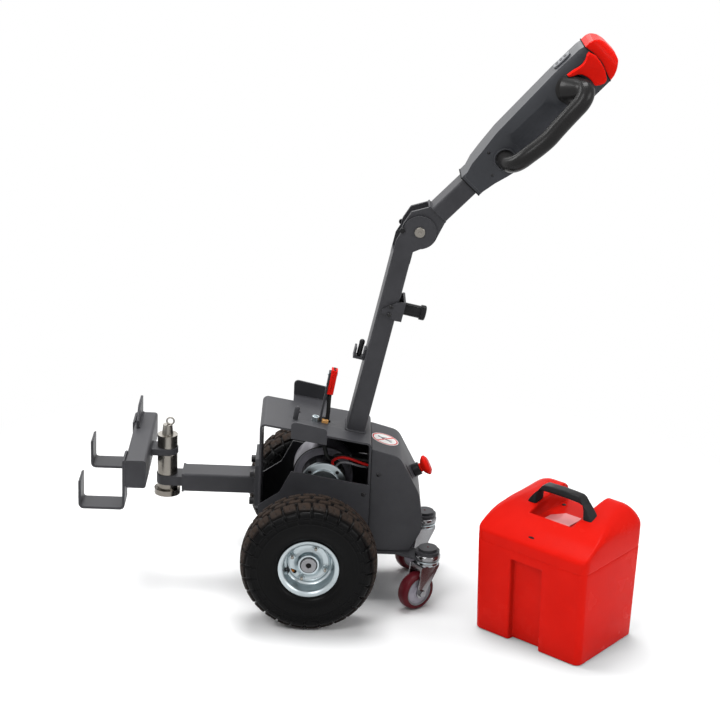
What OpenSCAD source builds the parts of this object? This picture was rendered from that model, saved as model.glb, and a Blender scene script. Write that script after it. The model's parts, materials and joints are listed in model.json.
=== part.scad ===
/* [Drive wheels] */
// Outer diameter of a tyre
tyre_d = 260; // [240:1:280]
// Width of a tyre
tyre_w = 85; // [70:1:90]
// Distance between the middle planes of the two tyres
track_w = 362; // [350:1:380]
// Diameter of the rim's outer lip
rim_lip_d = 114; // [108:1:118]
// Diameter of the bead seat inside the tyre
bead_d = 101; // [98:1:104]
// Distance between the two rim lips
rim_w = 72; // [64:1:74]
// How far the wheel disc lies inside the outer lip
disc_recess = 27; // [18:1:34]
// Sheet thickness of the rim
rim_wall = 3; // [2:0.5:4]
// Outer diameter of the wheel hub tube
hub_d = 43; // [38:1:48]
// Length of the wheel hub tube
hub_l = 58; // [50:1:64]
// Diameter of the axle shaft
axle_d = 20; // [16:1:24]
// Radial running clearance of a shaft in its bore
run_gap = 0.05; // [0.02:0.01:0.1]
// Diameter of the drive motor
motor_d = 118; // [110:1:124]
// Length of the drive motor's drum
motor_l = 62; // [54:1:70]
// Number of tread blocks round a tyre
tread_n = 26; // [20:1:30]
// Height of the tread blocks
tread_h = 5; // [3:0.5:7]

/* [Casters] */
// Distance of the caster swivel axes behind the drive axle
caster_x = 229.5; // [215:0.5:240]
// Distance of each caster swivel axis from the centre plane
caster_y = 86; // [80:1:92]
// Room between a caster wheel and the fork's crown
caster_room = 16; // [12:1:20]
// Width of a caster wheel
caster_w = 26; // [22:1:30]
// Distance from the swivel axis to the caster wheel's axle
caster_trail = 26; // [20:1:30]
// Sheet thickness of a caster fork
fork_wall = 2.5; // [2:0.5:3.5]
// Gap between the wheel and each fork leg
fork_gap = 2; // [1.5:0.5:3]
// Height of the caster's swivel head
swivel_h = 7.7; // [6:0.1:10]
// How the near caster is turned
caster_turn_near = 38; // [0:1:90]
// How the far caster is turned
caster_turn_far = 34; // [0:1:90]
// Diameter of the caster wheel's axle bolt
caster_axle_d = 8; // [6:0.5:10]

/* [Chassis] */
// Distance of the front plate ahead of the drive axle
front_x = 102; // [96:1:108]
// Distance of the rear plate behind the drive axle
rear_x = 112; // [106:1:118]
// Width of the bent chassis sheet
chassis_w = 150; // [144:1:156]
// Thickness of the chassis sheet
sheet_t = 4; // [3:0.5:5]
// Outside radius of the chassis bends
bend_r = 10; // [8:1:14]
// Distance of the connector post behind the axle
post_x = 10; // [6:1:16]
// Width of the connector post
post_w = 16; // [14:1:20]
// Height of the connector post above the top plate
post_h = 102; // [96:1:106]
// Height of the top plate's surface above the axle line
top_z = 347.5; // [340:0.5:355]
// Slope of the top plate towards the rear, in degrees
top_slope = 9.2; // [8:0.1:12]
// Distance of the plates' lower edges below the axle line
skirt_drop = 26; // [20:1:32]
// Distance from the axle line to the front edge of a battery ear
ear_front = 42; // [38:1:46]
// Distance from the axle line to the rear edge of a battery ear
ear_rear = 26; // [20:1:30]
// Width over both battery ears
ear_w = 226; // [216:1:236]
// Height of the turned-up ear flanges
ear_h = 29; // [24:1:34]
// Height of the side panels' upper edge at the rear plate
panel_top_z = 244; // [236:1:250]
// Thickness of the base plate
base_t = 5; // [4:0.5:6]
// Diameter of a caster pad on the base plate
pad_d = 46; // [42:1:50]

/* [Control cover] */
// Width of the control cover
cover_w = 142; // [136:1:148]
// Height of the cover's top at the rear plate
cover_top_z = 317; // [310:1:322]
// Distance from the axle to the rear edge of the cover's top
cover_top_x = 167; // [160:1:172]
// Distance from the axle to the rearmost face of the cover
cover_rear_x = 216; // [208:1:220]
// Rounding radius of the cover's edges
cover_r = 9; // [6:1:12]
// Diameter of the stop button's red head
stop_d = 40; // [36:1:44]

/* [Drawbar and hitch] */
// Distance of the hitch pin ahead of the drive axle
hitch_x = 282.5; // [276:0.5:290]
// Width of the drawbar tube
drawbar_w = 56; // [50:1:62]
// Height of the drawbar tube
drawbar_h = 37; // [34:1:40]
// Wall of the drawbar tube and of the other square tubes
tube_wall = 3; // [2:0.5:4]
// Height of the drawbar's underside
drawbar_z = 196; // [192:1:200]
// Diameter of the hitch pin between the lugs
pin_d = 30; // [26:1:34]
// Diameter of the pin's collar and spacer
collar_d = 39; // [37:1:42]
// Diameter of the pin's lower flange
pin_flange_d = 51; // [48:1:54]
// Thickness of the drawbar's lug
lug_t = 19; // [16:1:21]
// Thickness of the coupler's lug
coupler_lug_t = 13; // [11:1:16]
// Height of the coupler lug's underside
coupler_lug_z = 267; // [265:1:270]

/* [Coupler] */
// Length of the cross bar
bar_l = 248; // [240:1:260]
// Depth of the cross bar along the tug
bar_x = 40; // [36:1:44]
// Height of the cross bar
bar_h = 56; // [52:1:60]
// Height of the cross bar's underside
bar_z = 243; // [241:1:246]
// Distance from the hitch pin to the cross bar's near face
bar_gap = 30.5; // [28:0.5:34]
// Width of a hook strip
hook_w = 52; // [46:1:58]
// Thickness of a hook strip
hook_t = 5; // [4:0.5:6]
// Reach of a hook ahead of the cross bar
hook_reach = 88; // [80:1:96]
// Height of a hook's free leg
hook_h = 56; // [50:1:62]
// Height of a hook's underside
hook_z = 196.5; // [192:0.5:200]
// Height of the guide plate above the cross bar
guide_h = 36; // [30:1:40]
// Length of the guide plate
guide_l = 88; // [80:1:92]

/* [Column] */
// Depth of the column tube along the tug
column_x = 36; // [32:1:40]
// Width of the column tube
column_y = 56; // [50:1:60]
// Backward lean of the column, in degrees
column_lean = 11.5; // [10:0.5:13]
// Distance of the column's foot behind the axle
column_foot = 81; // [76:1:86]
// Length from the column's foot to the tiller pivot
column_l = 416; // [400:1:430]
// Offset of the tiller pivot behind the column's middle
pivot_off = 21; // [18:1:24]
// Outer radius of the eyes at the tiller pivot
eye_r = 31; // [29:1:33]
// Diameter of the tiller's pivot pin
pivot_d = 20; // [16:1:22]
// Length of the rest buffer behind the column
buffer_l = 44; // [38:1:50]
// Diameter of the rest buffer's tube
buffer_d = 24; // [20:1:27]
// Height of the rest bracket along the column
rest_at = 252; // [244:1:260]

/* [Tiller] */
// Angle of the tiller arm above the floor, in degrees
tiller_angle = 47; // [40:1:52]
// Height of the arm tube
arm_h = 36; // [32:1:38]
// Width of the arm tube
arm_w = 56; // [50:1:58]
// Distance from the pivot to the foot of the arm tube
arm_start = 44; // [42:1:46]
// Distance from the pivot to the sleeve of the control head
head_start = 127; // [122:1:132]
// Distance from the pivot to the front end of the control head
head_end = 446; // [440:1:452]
// Greatest width of the control head
head_w = 88; // [82:1:92]
// Distance from the pivot to the tip of the red nose
nose_end = 484; // [478:1:490]
// Diameter of a handle's grip tube
grip_d = 32; // [28:1:34]
// Distance of a handle's outer run from the centre plane
grip_y = 92; // [84:1:100]
// Width of the flat top of the control head
head_top_w = 60; // [54:1:66]
// Depth of the scoops in the sides of the control head
scoop = 7; // [4:0.5:9]

/* [Battery] */
// Width of the battery's broad faces
battery_w = 238; // [230:1:246]
// Width of the battery's narrow faces
battery_t = 187; // [180:1:194]
// Height of the seam between the battery's case and its lid
battery_seam = 190; // [180:1:198]
// Height of the lid over its lower front part
battery_low = 214; // [206:1:220]
// Height of the two shoulders of the lid
battery_high = 267; // [260:1:274]
// Width of the notch between the shoulders
notch_w = 94; // [84:1:100]
// Height of the notch's floor
notch_z = 230; // [222:1:236]
// Rounding of the battery's upright edges
battery_r = 14; // [10:1:18]
// How far the battery's broad front face leans out at the seam
battery_lean = 10; // [6:1:12]
// How much wider the battery is at the seam than at its foot
battery_flare = 5; // [2:1:8]
// Height of the groove in the battery's front face
groove_h = 172; // [160:1:180]
// Height of the top of the battery's carrying handle
battery_handle_z = 291; // [284:1:298]
// Place of the battery's middle behind the axle
battery_x = 472; // [460:1:480]
// Distance of the battery's middle to the near side
battery_y = 176; // [170:1:186]
// How the battery is turned on the floor, in degrees
battery_turn = 50.5; // [45:0.5:56]

/* [Hidden] */
$fn = 64;
NEAR = -1;
FAR = 1;

ear_corner = 8;
// The locating pin for the battery pack
guide_x = 36;
guide_y = 20;
guide_d = 10;
post_t = 4;
// Gap round a welded piece in its slot
weld_gap = 0.25;
cover_t = 3;
groove_y0 = -27;
groove_y1 = 40;
groove_depth = 14;
notch_front = 38;
handle_span = 116;
handle_foot = 200.4;
axle_z = tyre_d / 2;
skirt_z = axle_z - skirt_drop;
crown_z = skirt_z - base_t - swivel_h - 0.3;
caster_d = crown_z - caster_room;
wheel_y = track_w / 2;
plate_drop = tan(top_slope);
foot_z = top_z - column_foot * plate_drop;
gearbox_d = 96;
gearbox_l = 70;
axle_tube_d = 44;
motor_x = 22;
motor_y = 27;
motor_z = axle_z + 0.5 * motor_d + 40;
pivot_x = column_foot + column_l * sin(column_lean) + pivot_off * cos(column_lean);
pivot_z = foot_z + column_l * cos(column_lean) - pivot_off * sin(column_lean);
bar_back_x = -hitch_x - bar_gap;
bar_front_x = bar_back_x - bar_x;
hook_tip_x = bar_front_x - hook_reach;
battery_top_w = battery_w + battery_flare;
battery_top_t = battery_t + battery_lean;
battery_reach_x = (battery_t / 2 - battery_r) * cos(battery_turn)
    + (battery_top_w / 2 - battery_r) * sin(battery_turn) + battery_r;
battery_reach_y = (battery_t / 2 + battery_lean - battery_r) * sin(battery_turn)
    + (battery_top_w / 2 - battery_r) * cos(battery_turn) + battery_r;
wheel_side_y = wheel_y + tyre_w / 2;
// Middle of the whole footprint, with the battery on the floor
mid_x = (hook_tip_x + battery_x + battery_reach_x) / 2;
mid_y = (wheel_side_y - battery_y - battery_reach_y) / 2;

powder = [0.25, 0.25, 0.27];
black = [0.07, 0.07, 0.07];
red = [0.82, 0.08, 0.06];
zinc = [0.75, 0.76, 0.78];

// Puts the drive axle's frame into the frame of the whole footprint
module in_frame() {
    translate([-mid_x, -mid_y, 0]) children();
}

// Rectangle with rounded corners, from its middle
module round_rect(x, y, r) {
    for (sx = [-1, 1]) for (sy = [-1, 1])
        translate([sx * (x / 2 - r), sy * (y / 2 - r)]) circle(r);
    square([x - 2 * r, y], center = true);
    square([x, y - 2 * r], center = true);
}

// Square tube along Z from the origin
module tube_z(x, y, l, r = 5, wall = tube_wall) {
    linear_extrude(l) difference() {
        round_rect(x, y, r);
        round_rect(x - 2 * wall, y - 2 * wall, max(r - wall, 0.5));
    }
}

// Turns a flat outline in X and Z into a plate of width w about the centre plane
module across(w) {
    rotate([90, 0, 0]) linear_extrude(w, center = true) children();
}

// Points of a round arc
function arc(cx, cy, r, a0, a1, n = 8) =
    [for (i = [0:n]) let (a = a0 + (a1 - a0) * i / n) [cx + r * cos(a), cy + r * sin(a)]];

function unit(v) = v / norm(v);

// Outline p with its corners rounded off over a length r, or over r[i] at each corner
function soft(p, r, n = 4) = [for (i = [0:len(p) - 1])
    let (b = p[i], q = is_list(r) ? r[i] : r, m = len(p),
        a = b + unit(p[(i + m - 1) % m] - b) * q, c = b + unit(p[(i + 1) % m] - b) * q)
    each q < 0.01 ? [b] : [for (k = [0:n]) let (t = k / n) (1 - t) ^ 2 * a + 2 * t * (1 - t) * b + t ^ 2 * c]];

// Direction of a route at one of its points
function along(p, i) =
    i == 0 ? unit(p[1] - p[0])
    : i == len(p) - 1 ? unit(p[i] - p[i - 1])
    : unit(unit(p[i + 1] - p[i]) + unit(p[i] - p[i - 1]));

// Cross directions carried from point to point, so that the rod doesn't twist
function crossways(p, i, u) =
    i >= len(p) ? []
    : let (t = along(p, i), w = unit(u - (u * t) * t)) concat([[w, cross(t, w)]], crossways(p, i + 1, w));

// Round rod of diameter d with n sides along a route
module rod(p, d, n = 10) {
    m = len(p);
    f = crossways(p, 0, [0.31, 0.2, 0.93]);
    polyhedron(
        points = [for (i = [0:m - 1]) for (k = [0:n - 1])
            p[i] + d / 2 * (cos(k * 360 / n) * f[i][0] + sin(k * 360 / n) * f[i][1])],
        faces = concat(
            [[for (k = [0:n - 1]) k]],
            [[for (k = [0:n - 1]) m * n - 1 - k]],
            [for (i = [0:m - 2]) for (k = [0:n - 1])
                [i * n + k, (i + 1) * n + k, (i + 1) * n + (k + 1) % n, i * n + (k + 1) % n]]),
        convexity = 6);
}

// Height of the top plate's upper surface at a distance behind the axle
function plate_z(x) = top_z - x * plate_drop;

// Chassis

// Middle of a chassis bend, set so that the bend runs smoothly into the top plate
function bend_z(x) = plate_z(x) - bend_r / cos(top_slope);

function sheet_line(r) = concat(
    arc(-front_x + bend_r, bend_z(-front_x + bend_r), r, 180, 90 - top_slope, 6),
    arc(rear_x - bend_r, bend_z(rear_x - bend_r), r, 90 - top_slope, 0, 6));

module chassis_profile() {
    t = sheet_t;
    difference() {
        polygon(concat([[-front_x, skirt_z]], sheet_line(bend_r), [[rear_x, skirt_z]]));
        polygon(concat([[-front_x + t, skirt_z - 1]], sheet_line(bend_r - t), [[rear_x - t, skirt_z - 1]]));
    }
}

// Turned-up edge of a battery ear, as an outline in X and Z
module ear_flange() {
    c = ear_corner;
    h = ear_h / cos(top_slope);
    polygon(concat(
        [[-ear_front, plate_z(-ear_front) - sheet_t / 2]],
        arc(-ear_front + c, plate_z(-ear_front) + h - c, c, 180, 90 - top_slope, 4),
        arc(ear_rear - c, plate_z(ear_rear) + h - c, c, 90 - top_slope, 0, 4),
        [[ear_rear, plate_z(ear_rear) - sheet_t / 2]]));
}

module chassis_frame() {
    color(powder) difference() {
        union() {
            across(chassis_w) chassis_profile();
            across(ear_w) intersection() {
                chassis_profile();
                translate([-ear_front, 300]) square([ear_front + ear_rear, 100]);
            }
            for (s = [-1, 1]) translate([0, s * (ear_w - sheet_t) / 2, 0]) across(sheet_t) ear_flange();
            // Locating pin for the battery pack
            on_plate(-guide_x) translate([0, -guide_y, -1]) {
                cylinder(d = guide_d, h = 25);
                translate([0, 0, 25]) cylinder(d1 = guide_d, d2 = guide_d - 4, h = 3);
            }
        }
        // Cable slot, and the slots for the connector post and the column
        on_plate(post_x + 15) cube([14, 14, 30], center = true);
        on_plate(post_x + post_t / 2) cube([post_t + 2 * weld_gap, post_w + 2 * weld_gap, 30], center = true);
        on_column() translate([0, 0, -30]) linear_extrude(60)
            round_rect(column_x + 2 * weld_gap, column_y + 2 * weld_gap, 5 + weld_gap);
    }
}

panel_low = [-62, 224];
panel_rise = [-40, 268];
panel_front_z = 196;

module side_panel(side) {
    t = sheet_t;
    color(powder)
    translate([0, side * (chassis_w / 2 + t / 2), 0]) across(t) difference() {
        polygon([
            [-front_x, skirt_z], [-front_x, panel_front_z], panel_low, panel_rise,
            [rear_x, panel_top_z], [rear_x, skirt_z]]);
        translate([0, axle_z]) circle(d = axle_tube_d + 0.6);
    }
}

module side_panel_near() { side_panel(NEAR); }
module side_panel_far() { side_panel(FAR); }

base_front = -front_x + sheet_t + 0.5;
base_z = skirt_z;
pad_z = base_z + 22;

module base_plate() {
    color(powder) {
        translate([0, 0, base_z - base_t]) linear_extrude(base_t) difference() {
            union() {
                translate([base_front, -chassis_w / 2]) square([cover_rear_x - 22 - base_front, chassis_w]);
                for (s = [-1, 1]) {
                    translate([caster_x, s * caster_y]) circle(d = pad_d);
                    polygon([
                        [168, s * 60], [168, s * 75], [caster_x - 15, s * (caster_y + 17.4)],
                        [caster_x + 17.4, s * (caster_y - 15)], [198, s * 50]]);
                }
            }
            // Opening for the gearbox
            translate([-gearbox_d / 2 - 3, -gearbox_l / 2 - 4]) square([gearbox_d + 6, gearbox_l + 8]);
        }
        for (s = [-1, 1]) translate([caster_x, s * caster_y, base_z]) {
            cylinder(d = pad_d, h = 8);
            translate([0, 0, 8]) cylinder(d1 = pad_d - 8, d2 = pad_d - 14, h = pad_z - base_z - 8);
        }
    }
}

// Control cover with the stop button

cover_front = rear_x + 0.3;

// Upper and lower end of the slanted face that carries the stop button
cover_brow = [cover_top_x, cover_top_z - 15];
cover_chin = [cover_rear_x - 8, 226];

module cover_outline() {
    r = cover_r;
    polygon(soft([
        [cover_front, base_z + 0.2], [cover_front, cover_top_z], cover_brow,
        cover_chin, [cover_rear_x, 176], [cover_rear_x, 150],
        [cover_rear_x - 22, base_z + 0.2]], [0, 0, r + 3, r, r, r, 0]));
}

module control_cover() {
    t = cover_t;
    color(powder) difference() {
        across(cover_w) cover_outline();
        across(cover_w - 2 * t) polygon([
            [cover_front - 1, base_z - 1], [cover_front - 1, cover_top_z - t], cover_brow - [t * 0.7, t],
            cover_chin - [t, t * 0.3], [cover_rear_x - t, 176], [cover_rear_x - t, 150],
            [cover_rear_x - 22 - t, base_z - 1]]);
    }
}

stop_tilt = atan2(cover_chin[0] - cover_brow[0], cover_brow[1] - cover_chin[1]);
stop_base_x = (0.25 * cover_brow[0] + 0.75 * cover_chin[0]) + 0.1 * cos(stop_tilt);
stop_base_z = (0.25 * cover_brow[1] + 0.75 * cover_chin[1]) + 0.1 * sin(stop_tilt);

module at_stop() {
    translate([stop_base_x, 0, stop_base_z]) rotate([0, 90 - stop_tilt, 0]) children();
}

module stop_collar() {
    color(black) at_stop() translate([0, 0, 0]) cylinder(d = 26, h = 14);
}

module stop_head() {
    color(red) at_stop() translate([0, 0, 14]) {
        cylinder(d = 18, h = 6);
        translate([0, 0, 5]) cylinder(d1 = 24, d2 = stop_d, h = 7);
        translate([0, 0, 12]) cylinder(d = stop_d, h = 4);
        translate([0, 0, 16]) cylinder(d1 = stop_d, d2 = stop_d - 12, h = 4);
    }
}

// Drive

module gearbox() {
    color([0.3, 0.3, 0.31]) difference() {
        union() {
            translate([0, 0, axle_z]) rotate([90, 0, 0]) {
                cylinder(d = gearbox_d, h = gearbox_l, center = true);
                cylinder(d = axle_tube_d, h = 2 * wheel_y - hub_l - 2, center = true);
            }
            translate([-12, -gearbox_l / 2, axle_z]) cube([60, gearbox_l, 62]);
        }
        translate([0, 0, axle_z]) rotate([90, 0, 0]) cylinder(d = axle_d, h = 400, center = true);
        translate([motor_x, 0, motor_z]) rotate([90, 0, 0]) cylinder(d = motor_d + 0.4, h = 200, center = true);
    }
}

// A point in the top plate's own frame at a distance x behind the axle
function plate_pt(x, p) = [
    x + p[0] * cos(top_slope) + p[2] * sin(top_slope), p[1],
    plate_z(x) - p[0] * sin(top_slope) + p[2] * cos(top_slope)];

cable_d = 8;
terminal = [motor_x + 18, -24, motor_z + motor_d * 0.32];
// Battery lead from the red connector block through the slot in the top plate to the motor
lead_path = [
    plate_pt(post_x, [10, 0, 57.7]), plate_pt(post_x, [10.5, -0.5, 50]), plate_pt(post_x, [12, -1, 36]),
    plate_pt(post_x, [14, -1, 20]), plate_pt(post_x, [15, -1, 6]), plate_pt(post_x, [15, -1, -6]),
    plate_pt(post_x, [15.5, -4, -22]), plate_pt(post_x, [18, -10, -38]), plate_pt(post_x, [23, -17, -54]),
    plate_pt(post_x, [30, -22, -66]), terminal];
// Motor lead from the terminal through the window to the rear plate
feed_path = [
    terminal, terminal + [1, -2, 10], terminal + [6, -6, 17], terminal + [15, -9, 19], terminal + [28, -10, 17],
    terminal + [44, -10, 13], [rear_x - sheet_t - 0.3, terminal[1] - 10, terminal[2] + 10]];

module motor() {
    // The drum lies to the far side and the brush end points to the near side
    near = motor_l / 2 - motor_y;
    color([0.62, 0.62, 0.64]) translate([motor_x, 0, motor_z]) rotate([90, 0, 0]) {
        translate([0, 0, near - motor_l]) cylinder(d = motor_d, h = motor_l);
        translate([0, 0, near - 4]) cylinder(d = motor_d * 0.72, h = 46);
        translate([0, 0, near + 40]) cylinder(d = motor_d * 0.54, h = 8);
        translate([0, 0, near + 47]) cylinder(d = motor_d * 0.24, h = 6);
        translate([0, 0, near - motor_l - 12]) cylinder(d = motor_d * 0.8, h = 13);
    }
    color(black) {
        translate(terminal - [0, 0, 12]) cylinder(d = 16, h = 16, $fn = 24);
        rod(lead_path, cable_d, 10);
        rod(feed_path, cable_d, 10);
    }
}

module axle() {
    color(zinc) translate([0, 0, axle_z]) rotate([90, 0, 0]) {
        cylinder(d = axle_d, h = 2 * wheel_y + hub_l + 4, center = true);
        for (s = [-1, 1]) translate([0, 0, s * (wheel_y + hub_l / 2 + 1.2)]) cylinder(d = 26, h = 2, center = true);
    }
}

// Wheels

function tyre_profile() =
    let (w = tyre_w / 2, R = tyre_d / 2, b = bead_d / 2)
    concat(
        [[b, -rim_w / 2 + 5.5], [b + 8, -rim_w / 2 + 2.6]],
        [[b + 22, -w + 2], [R - 36, -w], [R - 20, -w + 2]],
        [[R - 9, -w + 9], [R - tread_h, -w + 22], [R - tread_h + 1, 0], [R - tread_h, w - 22], [R - 9, w - 9]],
        [[R - 20, w - 2], [R - 36, w], [b + 22, w - 2]],
        [[b + 8, rim_w / 2 - 2.6], [b, rim_w / 2 - 5.5]]);

module on_axle(side) {
    translate([0, side * wheel_y, axle_z]) rotate([side > 0 ? -90 : 90, 0, 0]) children();
}

module tyre(side) {
    color(black) on_axle(side) {
        rotate_extrude($fn = 72) polygon(tyre_profile());
        intersection() {
            rotate_extrude($fn = 72) polygon([
                [tyre_d / 2 - 18, -tyre_w / 2 + 8], [tyre_d / 2 - 3, -tyre_w / 2 + 22], [tyre_d / 2, 0],
                [tyre_d / 2 - 3, tyre_w / 2 - 22], [tyre_d / 2 - 18, tyre_w / 2 - 8]]);
            for (i = [0:tread_n - 1]) rotate([0, 0, i * 360 / tread_n])
                translate([tyre_d / 2 - 20, -8, -tyre_w / 2])
                    cube([24, 16, tyre_w]);
        }
    }
}

module tyre_near() { tyre(NEAR); }
module tyre_far() { tyre(FAR); }

module rim(side) {
    w = rim_w / 2;
    t = rim_wall;
    b = bead_d / 2 - 0.3;
    lip = rim_lip_d / 2;
    d = w - disc_recess;
    color(zinc) on_axle(side) difference() {
        rotate_extrude() polygon([
            [axle_d / 2 + run_gap, -hub_l / 2], [hub_d / 2, -hub_l / 2], [hub_d / 2, d - t],
            [b - 12, d - t], [b - t, d - 12], [b - t, -w + t], [lip - 2, -w], [lip, -w], [lip, -w + 2],
            [b + 0, -w + 5], [b, w - 5], [lip, w - 2], [lip, w], [lip - 3, w], [b - t, w - t],
            [b - t, d + 4], [b - 12, d], [hub_d / 2, d], [hub_d / 2, hub_l / 2],
            [axle_d / 2 + run_gap, hub_l / 2]]);
    }
}

module rim_near() { rim(NEAR); }
module rim_far() { rim(FAR); }

// Casters

function caster_turn(side) = side < 0 ? -caster_turn_near : -caster_turn_far;

module at_caster(side) {
    translate([caster_x, side * caster_y, 0]) rotate([0, 0, 180 - caster_turn(side)]) children();
}

module caster_fork(side) {
    inside = caster_w / 2 + fork_gap;
    outside = inside + fork_wall;
    color([0.8, 0.8, 0.82]) at_caster(side) {
        // Swivel head under the pad
        translate([0, 0, crown_z]) cylinder(d1 = 44, d2 = 40, h = swivel_h);
        translate([0, 0, crown_z - fork_wall]) hull() {
            cylinder(d = 40, h = fork_wall, $fn = 32);
            translate([caster_trail * 0.8, -outside, 0]) cube([4, 2 * outside, fork_wall]);
        }
        for (s = [-1, 1]) translate([0, s * (inside + fork_wall / 2), 0]) across(fork_wall) difference() {
            hull() {
                translate([-16, crown_z - 6]) square([44, 6]);
                translate([caster_trail, caster_d / 2]) circle(11, $fn = 32);
            }
            translate([caster_trail, caster_d / 2]) circle(d = caster_axle_d + 0.1);
        }
        translate([caster_trail, 0, caster_d / 2]) rotate([90, 0, 0]) {
            cylinder(d = caster_axle_d, h = 2 * outside + 4, center = true);
            for (s = [-1, 1]) translate([0, 0, s * (outside + 3)]) cylinder(d = 14, h = 6, center = true, $fn = 6);
        }
    }
}

module caster_wheel(side) {
    w = caster_w / 2;
    R = caster_d / 2;
    color([0.4, 0.05, 0.06]) at_caster(side) translate([caster_trail, 0, R]) rotate([90, 0, 0])
        rotate_extrude() polygon([
            [caster_axle_d / 2 + run_gap, -w], [12, -w], [14, -w + 4], [R - 9, -w + 4], [R - 7, -w + 1],
            [R - 2.5, -w + 3], [R, -w + 8], [R, w - 8], [R - 2.5, w - 3], [R - 7, w - 1],
            [R - 9, w - 4], [14, w - 4], [12, w], [caster_axle_d / 2 + run_gap, w]]);
}

module caster_fork_near() { caster_fork(NEAR); }
module caster_fork_far() { caster_fork(FAR); }
module caster_wheel_near() { caster_wheel(NEAR); }
module caster_wheel_far() { caster_wheel(FAR); }

// Drawbar, hitch pin and coupler

lug_z = drawbar_z + (drawbar_h - lug_t) / 2;
lug_r = 21;
drawbar_tip_x = -hitch_x + lug_r + 9;
flange_t = 8;
flange_z = 170;
flange_w = 96;
flange_h = 104;
pin_low = 182;
pin_flange_t = 11;
pin_top = 305;

module drawbar() {
    plate_x = -front_x - flange_t;
    color(powder) difference() {
        union() {
            translate([plate_x, 0, drawbar_z + drawbar_h / 2]) rotate([0, -90, 0])
                tube_z(drawbar_h, drawbar_w, plate_x - drawbar_tip_x);
            translate([plate_x, 0, flange_z]) rotate([90, 0, 90]) linear_extrude(flange_t) polygon([
                [-flange_w / 2 + 10, 0], [flange_w / 2 - 10, 0], [flange_w / 2, 10],
                [flange_w / 2, flange_h - 10], [flange_w / 2 - 10, flange_h],
                [-flange_w / 2 + 10, flange_h], [-flange_w / 2, flange_h - 10], [-flange_w / 2, 10]]);
            translate([drawbar_tip_x, -drawbar_w / 2, drawbar_z]) cube([4, drawbar_w, drawbar_h]);
            translate([0, 0, lug_z]) linear_extrude(lug_t) difference() {
                union() {
                    translate([-hitch_x, 0]) circle(lug_r);
                    translate([-hitch_x, -lug_r]) square([hitch_x + drawbar_tip_x + lug_r, 2 * lug_r]);
                }
                translate([-hitch_x, 0]) circle(d = pin_d + 0.1);
            }
        }
    }
}

module hitch_pin() {
    low = pin_low + pin_flange_t;
    color(zinc) translate([-hitch_x, 0, 0]) {
        translate([0, 0, pin_low]) cylinder(d = pin_flange_d, h = pin_flange_t);
        translate([0, 0, low]) cylinder(d = collar_d, h = lug_z - low);
        translate([0, 0, lug_z]) cylinder(d = pin_d, h = pin_top - lug_z);
        translate([0, 0, coupler_lug_z + coupler_lug_t + 0.3])
            cylinder(d = collar_d, h = pin_top - coupler_lug_z - coupler_lug_t - 0.3);
        translate([0, 0, pin_top]) cylinder(d1 = 22, d2 = 18, h = 20);
        translate([5, 0, pin_top + 27]) rotate([90, 0, 0]) rotate_extrude() translate([7, 0]) circle(1.6, $fn = 16);
    }
}

module hitch_spacer() {
    color(zinc) translate([-hitch_x, 0, lug_z + lug_t]) difference() {
        cylinder(d = collar_d, h = coupler_lug_z - lug_z - lug_t - 0.3);
        translate([0, 0, -1]) cylinder(d = pin_d + 0.1, h = 60);
    }
}

module coupler_lug() {
    color(powder) translate([0, 0, coupler_lug_z]) linear_extrude(coupler_lug_t) difference() {
        union() {
            translate([-hitch_x, 0]) circle(lug_r);
            translate([bar_back_x, -lug_r]) square([bar_gap, 2 * lug_r]);
        }
        translate([-hitch_x, 0]) circle(d = pin_d + 2 * run_gap);
    }
}

cap_t = 4;

module cross_bar() {
    color(powder) translate([bar_back_x - bar_x / 2, bar_l / 2, bar_z + bar_h / 2]) rotate([90, 0, 0]) {
        tube_z(bar_x, bar_h, bar_l, 6);
        // End plates welded into the tube
        for (z = [0.5, bar_l - cap_t - 0.5]) translate([0, 0, z]) linear_extrude(cap_t)
            square([bar_x - tube_wall, bar_h - tube_wall], center = true);
    }
}

module hook(side) {
    t = hook_t;
    r = 10;
    top = bar_z + bar_h;
    y0 = side > 0 ? bar_l / 2 - hook_w : -bar_l / 2;
    color(powder) translate([0, y0 + hook_w / 2, 0]) across(hook_w) difference() {
        polygon(concat(
            [[hook_tip_x, hook_z + hook_h]],
            arc(hook_tip_x + r, hook_z + r, r, 180, 270, 4),
            arc(bar_front_x - r, hook_z + r, r, 270, 360, 4),
            [[bar_front_x, top]]));
        polygon(concat(
            [[hook_tip_x + t, hook_z + hook_h + 60]],
            arc(hook_tip_x + r, hook_z + r, r - t, 180, 270, 4),
            arc(bar_front_x - r, hook_z + r, r - t, 270, 360, 4),
            [[bar_front_x - t, hook_z + hook_h + 60]]));
    }
}

module hook_near() { hook(NEAR); }
module hook_far() { hook(FAR); }

module guide_plate() {
    top = bar_z + bar_h;
    color(powder) translate([bar_front_x + 6, bar_l / 2, top]) rotate([90, 0, -90]) mirror([0, 0, 1])
        linear_extrude(hook_t) polygon([
            [0, 0], [guide_l, 0], [guide_l, guide_h * 0.45], [guide_l * 0.6, guide_h], [0, guide_h]]);
}

// Column with its rest and latch

module on_column() {
    translate([column_foot, 0, foot_z]) rotate([0, column_lean, 0]) children();
}

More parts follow.
